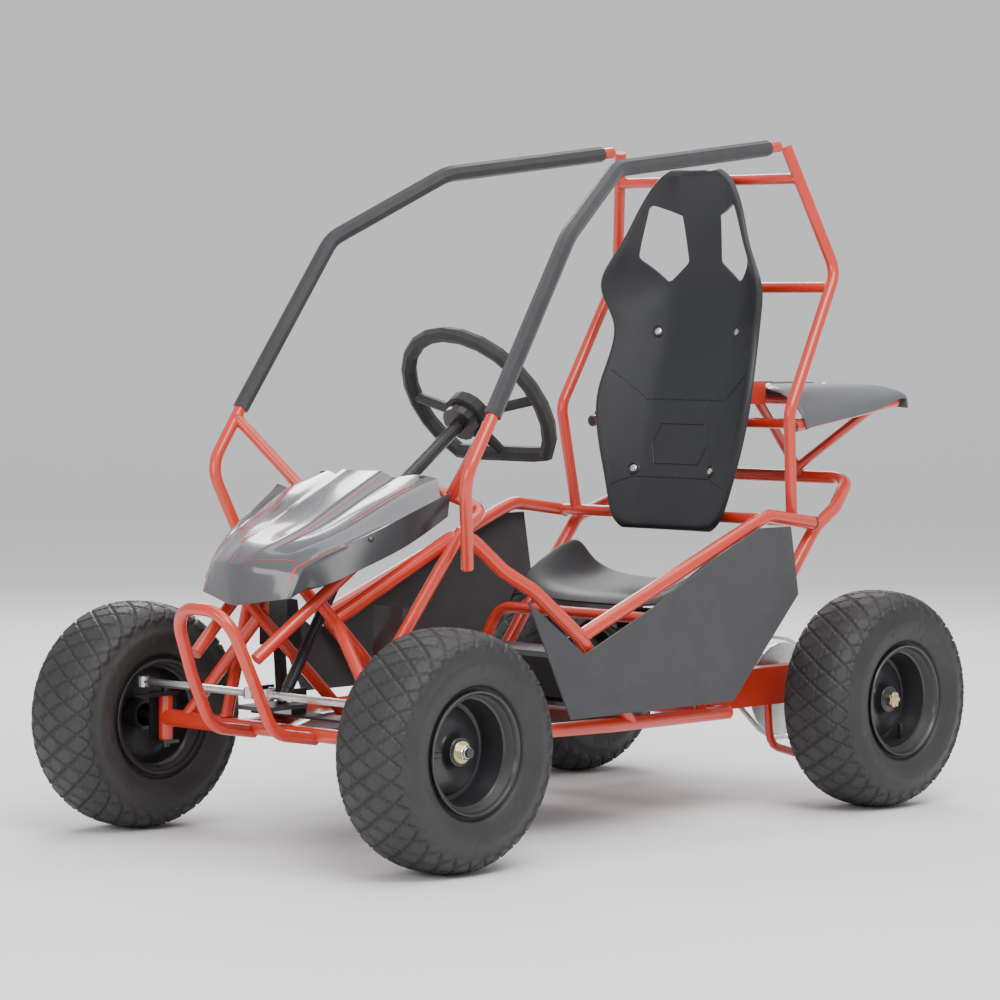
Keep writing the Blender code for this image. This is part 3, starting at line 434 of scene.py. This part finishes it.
def make_welds():
    """Beads where the tubes meet, all in one piece."""
    form = bmesh.new()
    for sign in (1, -1):
        def route(points):
            return side_route(points, sign)

        joints = [(NOSE_STRUT[::-1], TUBE, BUMPER[2:4], TUBE), (BEAM_BRACE, TUBE * 0.98, FLOOR_STRUT, TUBE),
                  ([APEX, JUNCTION], RAIL, FLOOR_STRUT, TUBE), (SIDE_RAIL[2:], RAIL, FRONT_RAIL[3:5], RAIL),
                  (FRONT_RAIL[4:], RAIL, LOWER_RAIL[3:], RAIL), (HOOP_TOP[::-1], TUBE * 0.95, HOOP_LEG[2:], TUBE),
                  (HOOP_MIDDLE[::-1], TUBE * 0.95, HOOP_LEG[1:3], TUBE), (REAR_CROSS[::-1], TUBE, SIDE_RAIL[:2], RAIL),
                  (HOOP_LEG[1::-1], TUBE, REAR_CROSS, TUBE), (SEAT_CROSS[::-1], TUBE, REAR_LOOP[1:3], RAIL),
                  (CAGE_BRACE[::-1], TUBE * 0.97, CAGE[2:4], TUBE), (CAGE_BRACE, TUBE * 0.97, DASH_HOOP[1:3], TUBE),
                  (RACK_FRONT[::-1], TUBE * 0.9, RACK_SIDE, TUBE), (RACK_REAR[::-1], TUBE * 0.95, RACK_SIDE, TUBE),
                  (FRONT_POST, TUBE, [(-0.26, -0.503, 0.17638), (0.26, -0.503, 0.17638)], 0.0135),
                  (RACK_BRACE, 0.0075, RACK_SIDE, TUBE), (LOWER_CROSS[::-1], RAIL * 0.95, LOWER_RAIL[3:], RAIL)]
        for tube_route, radius, line, other in joints:
            one, two = route(tube_route), route(line)
            seam(form, one[-1], one[-2], radius, two[0], two[1], other)
    piece("weld_beads", form, PAINT, smooth=None)


def make_caps():
    """Black plastic caps in the open tube ends."""
    form = bmesh.new()
    for sign in (1, -1):
        for end, before, radius in ((SIDE_RAIL[0], SIDE_RAIL[1], RAIL), (RACK_SIDE[0], RACK_SIDE[1], TUBE),
                                    (RACK_SIDE[1], RACK_SIDE[0], TUBE)):
            tip = at(*side_route([end], sign)[0])
            out = (tip - at(*side_route([before], sign)[0])).normalized()
            profile = [(0.0002, -0.004), (radius * 1.04, -0.004), (radius * 1.04, -0.001), (radius * 0.92, 0.0002),
                       (0.0002, 0.0004)]
            add_lathe(form, profile, tip, out, 24)
    piece("tube_caps", form, SEAT)


make_frame_tubes()
make_welds()
make_caps()


# ---------------------------------------------------------------- wheels
TYRE_BLOCKS = 32
TYRE_CROWN = 0.1763


def smooth_step(low, high, value):
    share = min(max((value - low) / (high - low), 0.0), 1.0)
    return share * share * (3 - 2 * share)


def tyre_section(v):
    """Point (radius, distance outboard) and outward normal of the carcass, v from 0 at the crown to 1 at the bead."""
    knots = [(TYRE_CROWN, 0.0), (0.1756, 0.020), (0.1722, 0.040), (0.1640, 0.0565), (0.1520, 0.0670), (0.1360, 0.0716),
             (0.1180, 0.0704), (0.1020, 0.0640), (0.0915, 0.0580)]
    place = v * (len(knots) - 1)
    index = min(int(place), len(knots) - 2)
    t = place - index
    before = knots[index - 1] if index else (knots[1][0], -knots[1][1])
    after = knots[index + 2] if index + 2 < len(knots) else knots[-1]
    a, b = knots[index], knots[index + 1]

    def curve(k):
        return 0.5 * (2 * a[k] + (b[k] - before[k]) * t + (2 * before[k] - 5 * a[k] + 4 * b[k] - after[k]) * t * t
                      + (3 * a[k] - before[k] - 3 * b[k] + after[k]) * t ** 3)

    def slope(k):
        return 0.5 * ((b[k] - before[k]) + 2 * (2 * before[k] - 5 * a[k] + 4 * b[k] - after[k]) * t
                      + 3 * (3 * a[k] - before[k] - 3 * b[k] + after[k]) * t * t)

    tangent = Vector((slope(0), slope(1))).normalized()
    return curve(0), curve(1), Vector((tangent.y, -tangent.x))


def tread_height(phase, across):
    """Depth below the tread blocks' tops, in metres. across is 0 at the crown and 1 at the shoulder's edge."""
    groove = 9.0
    for slant in (1, -1):
        line = (phase + slant * 1.5 * across) % 1.0
        groove = min(groove, abs(line - 0.5))
    depth = 0.0036 * (1 - smooth_step(0.045, 0.085, groove))
    # A finer groove in each block, along the tread's edge of the triangle
    cell = abs((across * 3.0) % 1.0 - 0.5)
    depth = max(depth, 0.0018 * (1 - smooth_step(0.03, 0.075, cell)) * (groove > 0.11))
    # Blocks step down a little in their middle
    depth = max(depth, 0.0007 * smooth_step(0.16, 0.20, groove))
    # Rounded ends of the shoulder blocks
    scallop = 1.02 - 0.11 * (1 - math.cos(2 * math.pi * (phase + 1.5 - 0.5) + math.pi)) / 2
    edge = smooth_step(scallop - 0.015, scallop + 0.02, across)
    return depth * (1 - edge) + 0.0038 * edge


def tyre_mesh():
    """Carcass with tread blocks on the crown and shoulders, ticks on the walls and a bead at the rim."""
    around = TYRE_BLOCKS * 14
    tread_rows, wall_rows = 34, 16
    shares = [k / tread_rows * 0.56 for k in range(tread_rows + 1)]
    shares += [0.56 + 0.44 * (k + 1) / wall_rows for k in range(wall_rows)]
    half = [(v, *tyre_section(v)) for v in shares]
    form = bmesh.new()
    rng = random.Random(11)
    ticks = [(rng.random() * 2 * math.pi, 0.64 + 0.26 * rng.random()) for _ in range(44)]
    columns = []
    for step in range(around):
        angle = 2 * math.pi * step / around
        phase = TYRE_BLOCKS * angle / (2 * math.pi)
        column = []
        for side in (-1, 1):
            rows = half[:0:-1] if side < 0 else half
            for v, radius, along, normal in rows:
                across = v / 0.52
                if v <= 0.575:
                    depth = tread_height(phase, across)
                else:
                    depth = 0.0038
                    for where, level in ticks:
                        turn = abs((angle - where + math.pi) % (2 * math.pi) - math.pi)
                        if turn < 0.035 and abs(v - level) < 0.020 and v < 0.93:
                            depth += 0.0009
                    ring = math.exp(-((v - 0.955) / 0.018) ** 2)
                    depth += 0.0016 * ring
                    depth -= 0.0034 * smooth_step(0.58, 0.68, v) * (1 - smooth_step(0.9, 0.99, v))
                r = radius - normal.x * depth
                a = (along - normal.y * depth) * side
                column.append(form.verts.new((a, r * math.cos(angle), r * math.sin(angle))))
        for r, a in ((0.0800, 0.0560), (0.0800, -0.0560)):
            column.append(form.verts.new((a, r * math.cos(angle), r * math.sin(angle))))
        columns.append(column)
    count = len(columns[0])
    for column, following in zip(columns, columns[1:] + columns[:1]):
        for k in range(count):
            form.faces.new((column[k], column[(k + 1) % count], following[(k + 1) % count], following[k]))
    bmesh.ops.recalc_face_normals(form, faces=form.faces)
    mesh = bpy.data.meshes.new("tyre_form")
    form.to_mesh(mesh)
    form.free()
    mesh.materials.append(RUBBER)
    mesh.shade_smooth()
    return mesh


def rim_profile():
    """Pressed rim: two lips, a drop centre and a stepped disc with its hub tube."""
    return [(0.0895, 0.0590), (0.0902, 0.0606), (0.0892, 0.0622), (0.0868, 0.0618), (0.0845, 0.0585), (0.0825, 0.0520),
            (0.0800, 0.0420), (0.0772, 0.0400), (0.0752, 0.0300), (0.0742, 0.0060), (0.0720, 0.0010),
            (0.0660, -0.0010), (0.0640, 0.0010), (0.0620, 0.0060), (0.0590, 0.0085), (0.0400, 0.0105),
            (0.0290, 0.0120), (0.0240, 0.0150), (0.0222, 0.0200), (0.0215, 0.0290), (0.0205, 0.0300),
            (0.0180, 0.0300), (0.0180, -0.0220), (0.0230, -0.0220), (0.0240, 0.0060), (0.0600, -0.0020),
            (0.0700, -0.0120), (0.0740, -0.0200), (0.0750, -0.0400), (0.0800, -0.0440), (0.0825, -0.0520),
            (0.0850, -0.0600), (0.0892, -0.0622), (0.0902, -0.0606), (0.0895, -0.0590), (0.0860, -0.0560),
            (0.0845, -0.0480), (0.0780, -0.0400), (0.0770, 0.0380), (0.0845, 0.0480), (0.0860, 0.0560)]


def make_wheels():
    tyre_form = tyre_mesh()
    for end, x, y in (("front", FRONT_X, FRONT_Y), ("rear", REAR_X, REAR_Y)):
        for side, sign in (("left", 1), ("right", -1)):
            body = "front_wheel_" + side if end == "front" else "rear_drive"
            centre = at(sign * x, y, AXLE_Z)
            turn = Matrix.Rotation(0.13 * (1 + sign) + (0.4 if end == "rear" else 0.0), 4, "X")
            flip = Matrix.Rotation(0 if sign > 0 else math.pi, 4, "Z")
            mesh = tyre_form.copy()
            mesh.transform(Matrix.Translation(centre) @ turn @ flip)
            tyre = bpy.data.objects.new("knobbly_tyre_%s_%s" % (end, side), mesh)
            bpy.context.scene.collection.objects.link(tyre)
            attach(tyre, body)
            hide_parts("tyre_%s_%s" % (end, side))
            form = bmesh.new()
            add_lathe(form, rim_profile(), centre, (sign, 0, 0), 96)
            stem = centre + Vector((sign * 0.024, 0.0, 0.0))
            back = Vector((0, -1, 0)) if end == "front" else Vector((0, 0.5, -0.866))
            sweep(form, [stem + back * 0.078, stem + back * 0.064 + Vector((sign * 0.004, 0, 0)),
                         stem + back * 0.046 + Vector((sign * 0.010, 0, 0))], [0.0052, 0.0050, 0.0042], 12)
            rim = piece("pressed_rim_%s_%s" % (end, side), form, RIM_PAINT, body, 40)
            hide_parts("rim_%s_%s" % (end, side))
            make_hub(end, side, sign, centre)


def make_hub(end, side, sign, centre):
    """Bearing cap, washer, nut and axle end at the middle of a wheel."""
    outboard = Vector((sign, 0, 0))
    stub_body = "stub_" + side if end == "front" else "rear_drive"
    wheel_body = "front_wheel_" + side if end == "front" else "rear_drive"
    form = bmesh.new()
    add_lathe(form, [(0.0100, 0.026), (0.0185, 0.026), (0.0185, 0.0305), (0.0165, 0.0315), (0.0100, 0.0315)], centre,
              outboard, 40)
    piece("hub_bearing_%s_%s" % (end, side), form, BLACK_PAINT, wheel_body)
    form = bmesh.new()
    if end == "front":
        add_lathe(form, [(0.0080, 0.0318), (0.0165, 0.0318), (0.0168, 0.0326), (0.0160, 0.0335), (0.0080, 0.0335)],
                  centre, outboard, 40)
        nut = bmesh.new()
        add_hex_bolt(nut, centre + outboard * 0.0336, outboard, 0.0195, 0.0085, washer=False)
        add_lathe(nut, [(0.0070, 0.040), (0.0092, 0.040), (0.0092, 0.0445), (0.0082, 0.0455), (0.0070, 0.0455)], centre,
                  outboard, 30)
        add_lathe(nut, [(0.0002, 0.0300), (0.0066, 0.0300), (0.0066, 0.0440), (0.0055, 0.0448), (0.0002, 0.0448)],
                  centre, outboard, 24)
        made = piece("axle_nut_%s_%s" % (end, side), nut, ZINC, stub_body, 30)
        piece("hub_washer_%s_%s" % (end, side), form, GOLD_ZINC, stub_body)
    else:
        # Castellated nut: six lobes with slots between them
        lobes = 6
        for k in range(lobes):
            angle = 2 * math.pi * k / lobes
            out = Vector((0, math.cos(angle), math.sin(angle)))
            add_lathe(form, [(0.0001, 0.0), (0.0042, 0.0), (0.0042, 0.0060), (0.0034, 0.0068), (0.0001, 0.0068)],
                      centre + outboard * 0.0350 + out * 0.0088, outboard, 14)
        add_lathe(form, [(0.0002, 0.0320), (0.0125, 0.0320), (0.0125, 0.0370), (0.0002, 0.0370)], centre, outboard, 24)
        add_lathe(form, [(0.0002, 0.0320), (0.0062, 0.0320), (0.0062, 0.0400), (0.0050, 0.0412), (0.0002, 0.0412)],
                  centre, outboard, 24)
        made = piece("castle_nut_%s_%s" % (end, side), form, GOLD_ZINC, stub_body, 30)
    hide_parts("hub_nut_%s_%s" % (end, side))


make_wheels()


# ---------------------------------------------------------------- cowl, seat and deck
def surface(form, grid, mark=None, creases=None, closed=False):
    """Adds a sheet through a grid of points. mark gives a face's material from its column."""
    rows = [[form.verts.new(point) for point in line] for line in grid]
    layer = form.edges.layers.float.get("crease_edge") or form.edges.layers.float.new("crease_edge")
    for row, following in zip(rows, rows[1:]):
        for k in range(len(row) - 1):
            face = form.faces.new((row[k], row[k + 1], following[k + 1], following[k]))
            if mark:
                face.material_index = mark(k)
    for column, weight in (creases or {}).items():
        for row, following in zip(rows, rows[1:]):
            edge = form.edges.get((row[column], following[column]))
            if edge:
                edge[layer] = weight
    return rows


def shelled(made, wall, levels=2, offset=-1.0):
    """Gives a sheet its smooth curves and its wall, and applies both."""
    smooth = made.modifiers.new("curves", "SUBSURF")
    smooth.levels = smooth.render_levels = levels
    skin = made.modifiers.new("wall", "SOLIDIFY")
    skin.thickness = wall
    skin.offset = offset
    skin.use_even_offset = False
    apply_all(made)


def apply_all(made):
    """Replaces a piece's modifiers with their result."""
    depsgraph = bpy.context.evaluated_depsgraph_get()
    depsgraph.update()
    mesh = bpy.data.meshes.new_from_object(made.evaluated_get(depsgraph))
    made.modifiers.clear()
    made.data = mesh
    mesh.shade_smooth()
    mesh.set_sharp_from_angle(angle=math.radians(38))


def cutter_cut(made, form):
    """Cuts a shape out of a mesh."""
    mesh = bpy.data.meshes.new("cutter")
    bmesh.ops.recalc_face_normals(form, faces=form.faces)
    form.to_mesh(mesh)
    form.free()
    tool = bpy.data.objects.new("cutter", mesh)
    bpy.context.scene.collection.objects.link(tool)
    cut = made.modifiers.new("cut", "BOOLEAN")
    cut.operation = "DIFFERENCE"
    cut.solver = "EXACT"
    cut.object = tool
    apply_all(made)
    bpy.data.objects.remove(tool)


COWL_WALL = 0.003
SEAT_WALL = 0.0045
DECK_WALL = 0.0035
COWL_ROWS = [  # half rows from the nose to the dash, middle first
    [(0, -.609, .370), (.020, -.603, .373), (.032, -.5995, .375), (.045, -.596, .377), (.062, -.591, .380),
     (.080, -.586, .3825), (.0957, -.5813, .385), (.0957, -.580, .3845), (.090, -.580, .384)],
    [(0, -.603, .432), (.018, -.600, .433), (.030, -.597, .432), (.045, -.592, .431), (.065, -.584, .430),
     (.085, -.574, .428), (.101, -.560, .4286), (.110, -.560, .400), (.100, -.558, .396)],
    [(0, -.572, .455), (.030, -.572, .457), (.040, -.568, .455), (.055, -.560, .453), (.080, -.550, .452),
     (.100, -.540, .446), (.116, -.535, .4455), (.135, -.545, .402), (.128, -.545, .400)],
    [(0, -.50, .478), (.042, -.50, .482), (.056, -.50, .474), (.078, -.495, .478), (.110, -.49, .478),
     (.130, -.49, .466), (.146, -.48, .472), (.155, -.50, .424), (.148, -.50, .424)],
    [(0, -.44, .510), (.042, -.44, .5135), (.058, -.44, .503), (.090, -.44, .505), (.122, -.43, .507),
     (.143, -.43, .490), (.163, -.42, .500), (.168, -.43, .449), (.160, -.43, .449)],
    [(0, -.385, .5385), (.042, -.385, .5415), (.060, -.385, .529), (.094, -.385, .534), (.128, -.375, .535),
     (.153, -.375, .510), (.177, -.37, .522), (.171, -.38, .472), (.164, -.38, .472)],
    [(0, -.335, .5605), (.042, -.343, .5625), (.062, -.335, .552), (.098, -.320, .560), (.132, -.312, .553),
     (.160, -.335, .526), (.189, -.343, .536), (.172, -.331, .497), (.165, -.331, .497)]]


def make_cowl():
    """Nose cowl with its creases, darker sides, thin stripes and screws."""
    grid = []
    for row in COWL_ROWS:
        half = [at(*point) for point in row]
        grid.append([Vector((-p.x, p.y, p.z)) for p in half[:0:-1]] + half)
    form = bmesh.new()
    middle = 8
    creases = {}
    for column, weight in ((1, 0.55), (2, 0.45), (4, 0.6), (5, 0.5), (6, 0.9), (7, 0.8)):
        creases[middle + column] = creases[middle - column] = weight
    rows = surface(form, grid, lambda k: 1 if k <= 1 or k >= 14 else 0, creases)
    layer = form.edges.layers.float.get("crease_edge")
    for line, weight in ((1, 0.55), (0, 1.0), (6, 1.0)):
        for a, b in zip(rows[line], rows[line][1:]):
            form.edges.get((a, b))[layer] = weight
    made = piece("nose_cowl", form, [COWL, COWL_DARK])
    shelled(made, COWL_WALL)
    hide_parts("hood")
    depsgraph = bpy.context.evaluated_depsgraph_get()

    def on_cowl(x, y, lift=0.0004):
        hit, place, normal, _ = made.ray_cast(Vector((x, y - MIDDLE_Y, 0.8)), Vector((0, 0, -1)), depsgraph=depsgraph)
        if not hit:
            return None, None
        if normal.z < 0:
            normal = -normal
        return place + normal * lift, normal

    form = bmesh.new()
    for sign in (1, -1):
        for start, end, width in (((.010, -.600), (.017, -.583), .0022), ((.083, -.584), (.134, -.492), .0022),
                                  ((.031, -.590), (.089, -.560), .0020), ((.104, -.47), (.126, -.350), .0022),
                                  ((.098, -.47), (.116, -.350), .0014), ((.046, -.55), (.048, -.350), .0016)):
            line = []
            for step in range(41):
                t = step / 40
                x = start[0] + t * (end[0] - start[0])
                y = start[1] + t * (end[1] - start[1])
                taper = width * min(1.0, 6 * t + 0.15, 6 * (1 - t) + 0.15) / 2
                a, _ = on_cowl(sign * (x - taper), y)
                b, _ = on_cowl(sign * (x + taper), y)
                if a is not None and b is not None:
                    line.append((a, b))
            verts = [(form.verts.new(a), form.verts.new(b)) for a, b in line]
            for (a, b), (c, d) in zip(verts, verts[1:]):
                form.faces.new((a, b, d, c))
    stripes = piece("cowl_stripes", form, STRIPE, smooth=None)
    skin = stripes.modifiers.new("film", "SOLIDIFY")
    skin.thickness = 0.0003
    apply_all(stripes)
    form = bmesh.new()
    for x, y in ((.108, -.322), (-.108, -.322), (.150, -.470), (-.150, -.470)):
        place, normal = on_cowl(x, y, 0.0)
        if place is not None:
            add_lathe(form, [(0.0001, 0.0021), (0.0024, 0.0021), (0.0042, 0.0014), (0.0048, 0.0002), (0.0048, -0.001),
                             (0.0001, -0.001)], place, normal, 20)
    piece("cowl_screws", form, BLACK_PAINT)


SEAT_ROWS = [  # height, half width, middle's Y, how far the edges reach forward
    (.4475, .096, .3626, .004), (.462, .113, .3665, .008), (.4780, .1206, .3705, .010), (.505, .1290, .379, .015),
    (.5416, .140, .3905, .024), (.585, .1530, .404, .036), (.630, .1620, .417, .046), (.6709, .1647, .4285, .052),
    (.715, .1580, .4405, .047), (.7682, .1506, .4540, .043), (.800, .1580, .4630, .056), (.8377, .1746, .4700, .078),
    (.870, .1650, .4680, .078), (.905, .1400, .4640, .064), (.940, .1230, .4600, .050), (.975, .1080, .4540, .036),
    (1.005, .0900, .4470, .022), (1.025, .0740, .4410, .012), (1.0375, .052, .4370, .008)]
SEAT_SHARES = (0.0, 0.16, 0.32, 0.48, 0.62, 0.74, 0.84, 0.92, 1.0)


def make_seat_back():
    """Tall seat shell with head openings, bolts and mould lines."""
    grid = []
    for height, half, back, reach in SEAT_ROWS:
        line = []
        for share in SEAT_SHARES:
            # The bolster swells forward, and the middle panel is set back between two creases
            forward = reach * share ** 4
            dish = 0.006 * smooth_step(0.50, 0.66, share) if .52 < height < .80 else 0.003 * smooth_step(.5, .7, share)
            line.append(at(half * share, back - 0.0035 - forward - dish * (1 - smooth_step(0.8, 1.0, share)), height))
        grid.append([Vector((-p.x, p.y, p.z)) for p in line[:0:-1]] + line)
    form = bmesh.new()
    surface(form, grid)
    # Rolled rim all round, turned back from the edge
    rim = [edge for edge in form.edges if edge.is_boundary]
    grown = bmesh.ops.extrude_edge_only(form, edges=rim)["geom"]
    for vertex in (item for item in grown if isinstance(item, bmesh.types.BMVert)):
        side = math.copysign(1, vertex.co.x) if abs(vertex.co.x) > 0.05 else vertex.co.x / 0.05
        lift = 0.003 if vertex.co.z > 0.8 else (-0.003 if vertex.co.z < 0.5 else 0)
        vertex.co += Vector((side * 0.0035, 0.0085, lift))
    made = piece("seat_shell_back", form, SEAT)
    shelled(made, SEAT_WALL, offset=0.0)
    for sign in (1, -1):
        form = bmesh.new()
        outline = rounded([(sign * x, 0, z) for x, z in ((.040, .965), (.093, .986), (.121, .895), (.078, .8525),
                                                        (.034, .888), (.040, .965))], 0.010, 4)
        face = form.faces.new([form.verts.new((p[0], 0.30, p[2])) for p in outline[:-1]])
        grown = bmesh.ops.extrude_face_region(form, geom=[face])["geom"]
        bmesh.ops.translate(form, vec=(0, 0.3, 0), verts=[g for g in grown if isinstance(g, bmesh.types.BMVert)])
        cutter_cut(made, form)
    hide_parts("seat_back")
    depsgraph = bpy.context.evaluated_depsgraph_get()

    def on_seat(x, z, lift=0.0):
        hit, place, normal, _ = made.ray_cast(Vector((x, 0.0, z)), Vector((0, 1, 0)), depsgraph=depsgraph)
        if not hit:
            return None, None
        return (place + normal * lift if normal.y < 0 else place - normal * lift), (normal if normal.y < 0 else -normal)

    # Bolts in their recesses
    form = bmesh.new()
    rings = bmesh.new()
    for x, z in ((.0859, .7714), (-.0859, .7714), (.0838, .5416), (-.0838, .5416)):
        place, normal = on_seat(x, z)
        if place is None:
            continue
        add_lathe(rings, [(0.0078, 0.0004), (0.0092, 0.0018), (0.0110, 0.0004), (0.0110, -0.002), (0.0078, -0.002)],
                  place, normal, 28)
        add_lathe(form, [(0.0001, 0.0036), (0.0030, 0.0034), (0.0058, 0.0018), (0.0064, 0.0), (0.0001, -0.001)],
                  place, normal, 24)
    piece("seat_bolt_wells", rings, SEAT)
    piece("seat_bolts", form, ZINC)
    # Dashed mould lines and a plain six-sided outline between the lower bolts
    form = bmesh.new()
    dashes = [((x - .0042, .658), (x + .0042, .658)) for x in [-.0840 + .012 * k for k in range(15)]]
    dashes += [((x - .0042, .529), (x + .0042, .529)) for x in [-.0840 + .012 * k for k in range(15)]]
    for sign in (1, -1):
        for (ax, az), (bx, bz), count in (((.0900, .662), (.150, .708), 6), ((.0900, .527), (.124, .514), 4)):
            for k in range(count):
                t, u = (k + 0.15) / count, (k + 0.80) / count
                dashes.append(((sign * (ax + t * (bx - ax)), az + t * (bz - az)),
                               (sign * (ax + u * (bx - ax)), az + u * (bz - az))))
    for (ax, az), (bx, bz) in dashes:
        route = []
        for step in range(4):
            t = step / 3
            place, _ = on_seat(ax + t * (bx - ax), az + t * (bz - az), 0.0002)
            if place is not None:
                route.append(place)
        if len(route) == 4:
            sweep(form, route, [0.0009, 0.0014, 0.0014, 0.0009], 8)
    outline = [(.060, .585), (.048, .618), (-.048, .618), (-.060, .585), (-.048, .552), (.048, .552)]
    loop = []
    for (ax, az), (bx, bz) in zip(outline, outline[1:] + outline[:1]):
        for step in range(6):
            t = step / 6
            place, _ = on_seat(ax + t * (bx - ax), az + t * (bz - az), 0.0001)
            loop.append(place)
    if None not in loop:
        sweep(form, loop, 0.0014, 8, closed=True)
    piece("seat_mould_lines", form, SEAT)


def make_seat_base():
    """Pan with rolled front lip and raised wings at the sides."""
    rows = [(.182, [(0, .332), (.06, .332), (.11, .334), (.150, .338), (.178, .338), (.186, .326), (.188, .308)]),
            (.196, [(0, .344), (.06, .344), (.11, .347), (.150, .356), (.176, .360), (.186, .346), (.188, .314)]),
            (.218, [(0, .348), (.06, .348), (.11, .352), (.150, .367), (.174, .380), (.185, .364), (.188, .327)]),
            (.260, [(0, .351), (.06, .351), (.11, .355), (.150, .376), (.172, .405), (.184, .389), (.188, .341)]),
            (.300, [(0, .355), (.06, .355), (.11, .359), (.150, .385), (.170, .423), (.183, .407), (.188, .353)]),
            (.330, [(0, .359), (.06, .359), (.11, .364), (.150, .391), (.169, .431), (.183, .415), (.188, .361)]),
            (.346, [(0, .361), (.06, .361), (.11, .367), (.150, .391), (.168, .420), (.182, .404), (.188, .363)]),
            (.354, [(0, .363), (.06, .363), (.11, .369), (.150, .385), (.168, .398), (.182, .386), (.188, .363)])]
    grid = []
    for y, profile in rows:
        half = [at(x, y, z) for x, z in profile]
        grid.append([Vector((-p.x, p.y, p.z)) for p in half[:0:-1]] + half)
    form = bmesh.new()
    surface(form, grid)
    made = piece("seat_shell_base", form, SEAT)
    shelled(made, SEAT_WALL)
    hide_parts("seat_base")


def make_deck():
    """Rack deck with its raised middle, skirts and rear flap."""
    columns = [(0.0, .500, 1.0, 0), (.060, .500, 1.0, 0), (.112, .500, 1.0, 0), (.124, .480, 1.0, 0),
               (.138, .452, 1.0, 0), (.165, .443, .96, 0), (.192, .441, .80, 0), (.215, .441, .42, 0),
               (.2320, .441, .02, 0), (.2352, .442, .0, 0.013), (.2355, .443, .0, 0.019)]
    rows = (0.0, 0.02, 0.10, 0.3, 0.5, 0.7, 0.9, 0.97, 1.0)
    half_grid = []
    for x, front, share, drop in columns:
        line = []
        for part in rows:
            y = front + part * (.7115 - front)
            low = .617 + (y - .423) * .1372 + .0145
            line.append(at(x, y, low + share * (.6835 - low) - drop * (1.0 if part < 0.9 else 0.45)
                           - (0.004 if part in (0.0, 1.0) else 0)))
        line.append(at(x, .7140, .6500 + 0.004 * share))
        line.append(at(x, .7142, .6440 + 0.004 * share))
        half_grid.append(line)
    grid = [[Vector((-p.x, p.y, p.z)) for p in line] for line in half_grid[:0:-1]] + half_grid
    form = bmesh.new()
    creases = {8: 0.5, 1: 0.4}
    surface(form, grid, None, creases)
    made = piece("rack_deck", form, DECK)
    shelled(made, DECK_WALL)
    form = bmesh.new()
    for x, y in ((.085, .53), (-.085, .53), (.085, .68), (-.085, .68)):
        add_lathe(form, [(0.0001, 0.0022), (0.0040, 0.0020), (0.0062, 0.0004), (0.0062, -0.002), (0.0001, -0.002)],
                  at(x, y, .6828), (0, 0, 1), 22)
    piece("deck_screws", form, ZINC)
    # Three low ribs run along the deck
    form = bmesh.new()
    for x in (-.045, .0, .045):
        sweep(form, [at(x, .515 + .018 * k, .6832) for k in range(11)], 0.0022, 10)
    piece("deck_ribs", form, DECK)
    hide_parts("rack_panel")


make_cowl()
make_seat_back()
make_seat_base()
make_deck()


# ---------------------------------------------------------------- finishes of the CAD pieces that keep their shape
def refinish():
    """Gives each CAD piece that stays visible a procedural finish."""
    looks = {"dash_hoop": PAINT, "rack_leg_left": PAINT, "rack_leg_right": PAINT, "steering_column": BLACK_PAINT,
             "lower_shaft": BLACK_PAINT, "steering_wheel": GRIP, "foam_pad_left": FOAM, "foam_pad_right": FOAM,
             "side_net_left": CLOTH, "side_net_right": CLOTH, "floor_pan": BLACK_PAINT, "front_beam": PAINT,
             "motor": BLACK_PAINT, "motor_plate": BLACK_PAINT, "motor_pinion": ZINC, "sprocket": ZINC,
             "drive_chain": ZINC, "brake_disc": ZINC, "brake_caliper": BLACK_PAINT, "brake_cable": CABLE,
             "battery_box": SEAT, "rear_axle": ZINC, "pedal_bracket": BLACK_PAINT, "brake_pedal": BLACK_PAINT,
             "throttle_pedal": BLACK_PAINT}
    for side in ("left", "right"):
        looks.update({"knuckle_" + side: BLACK_PAINT, "tie_rod_" + side: ZINC, "axle_carrier_" + side: PAINT})
    for name, look in looks.items():
        for slot in NODES[name].material_slots:
            slot.material = look


refinish()
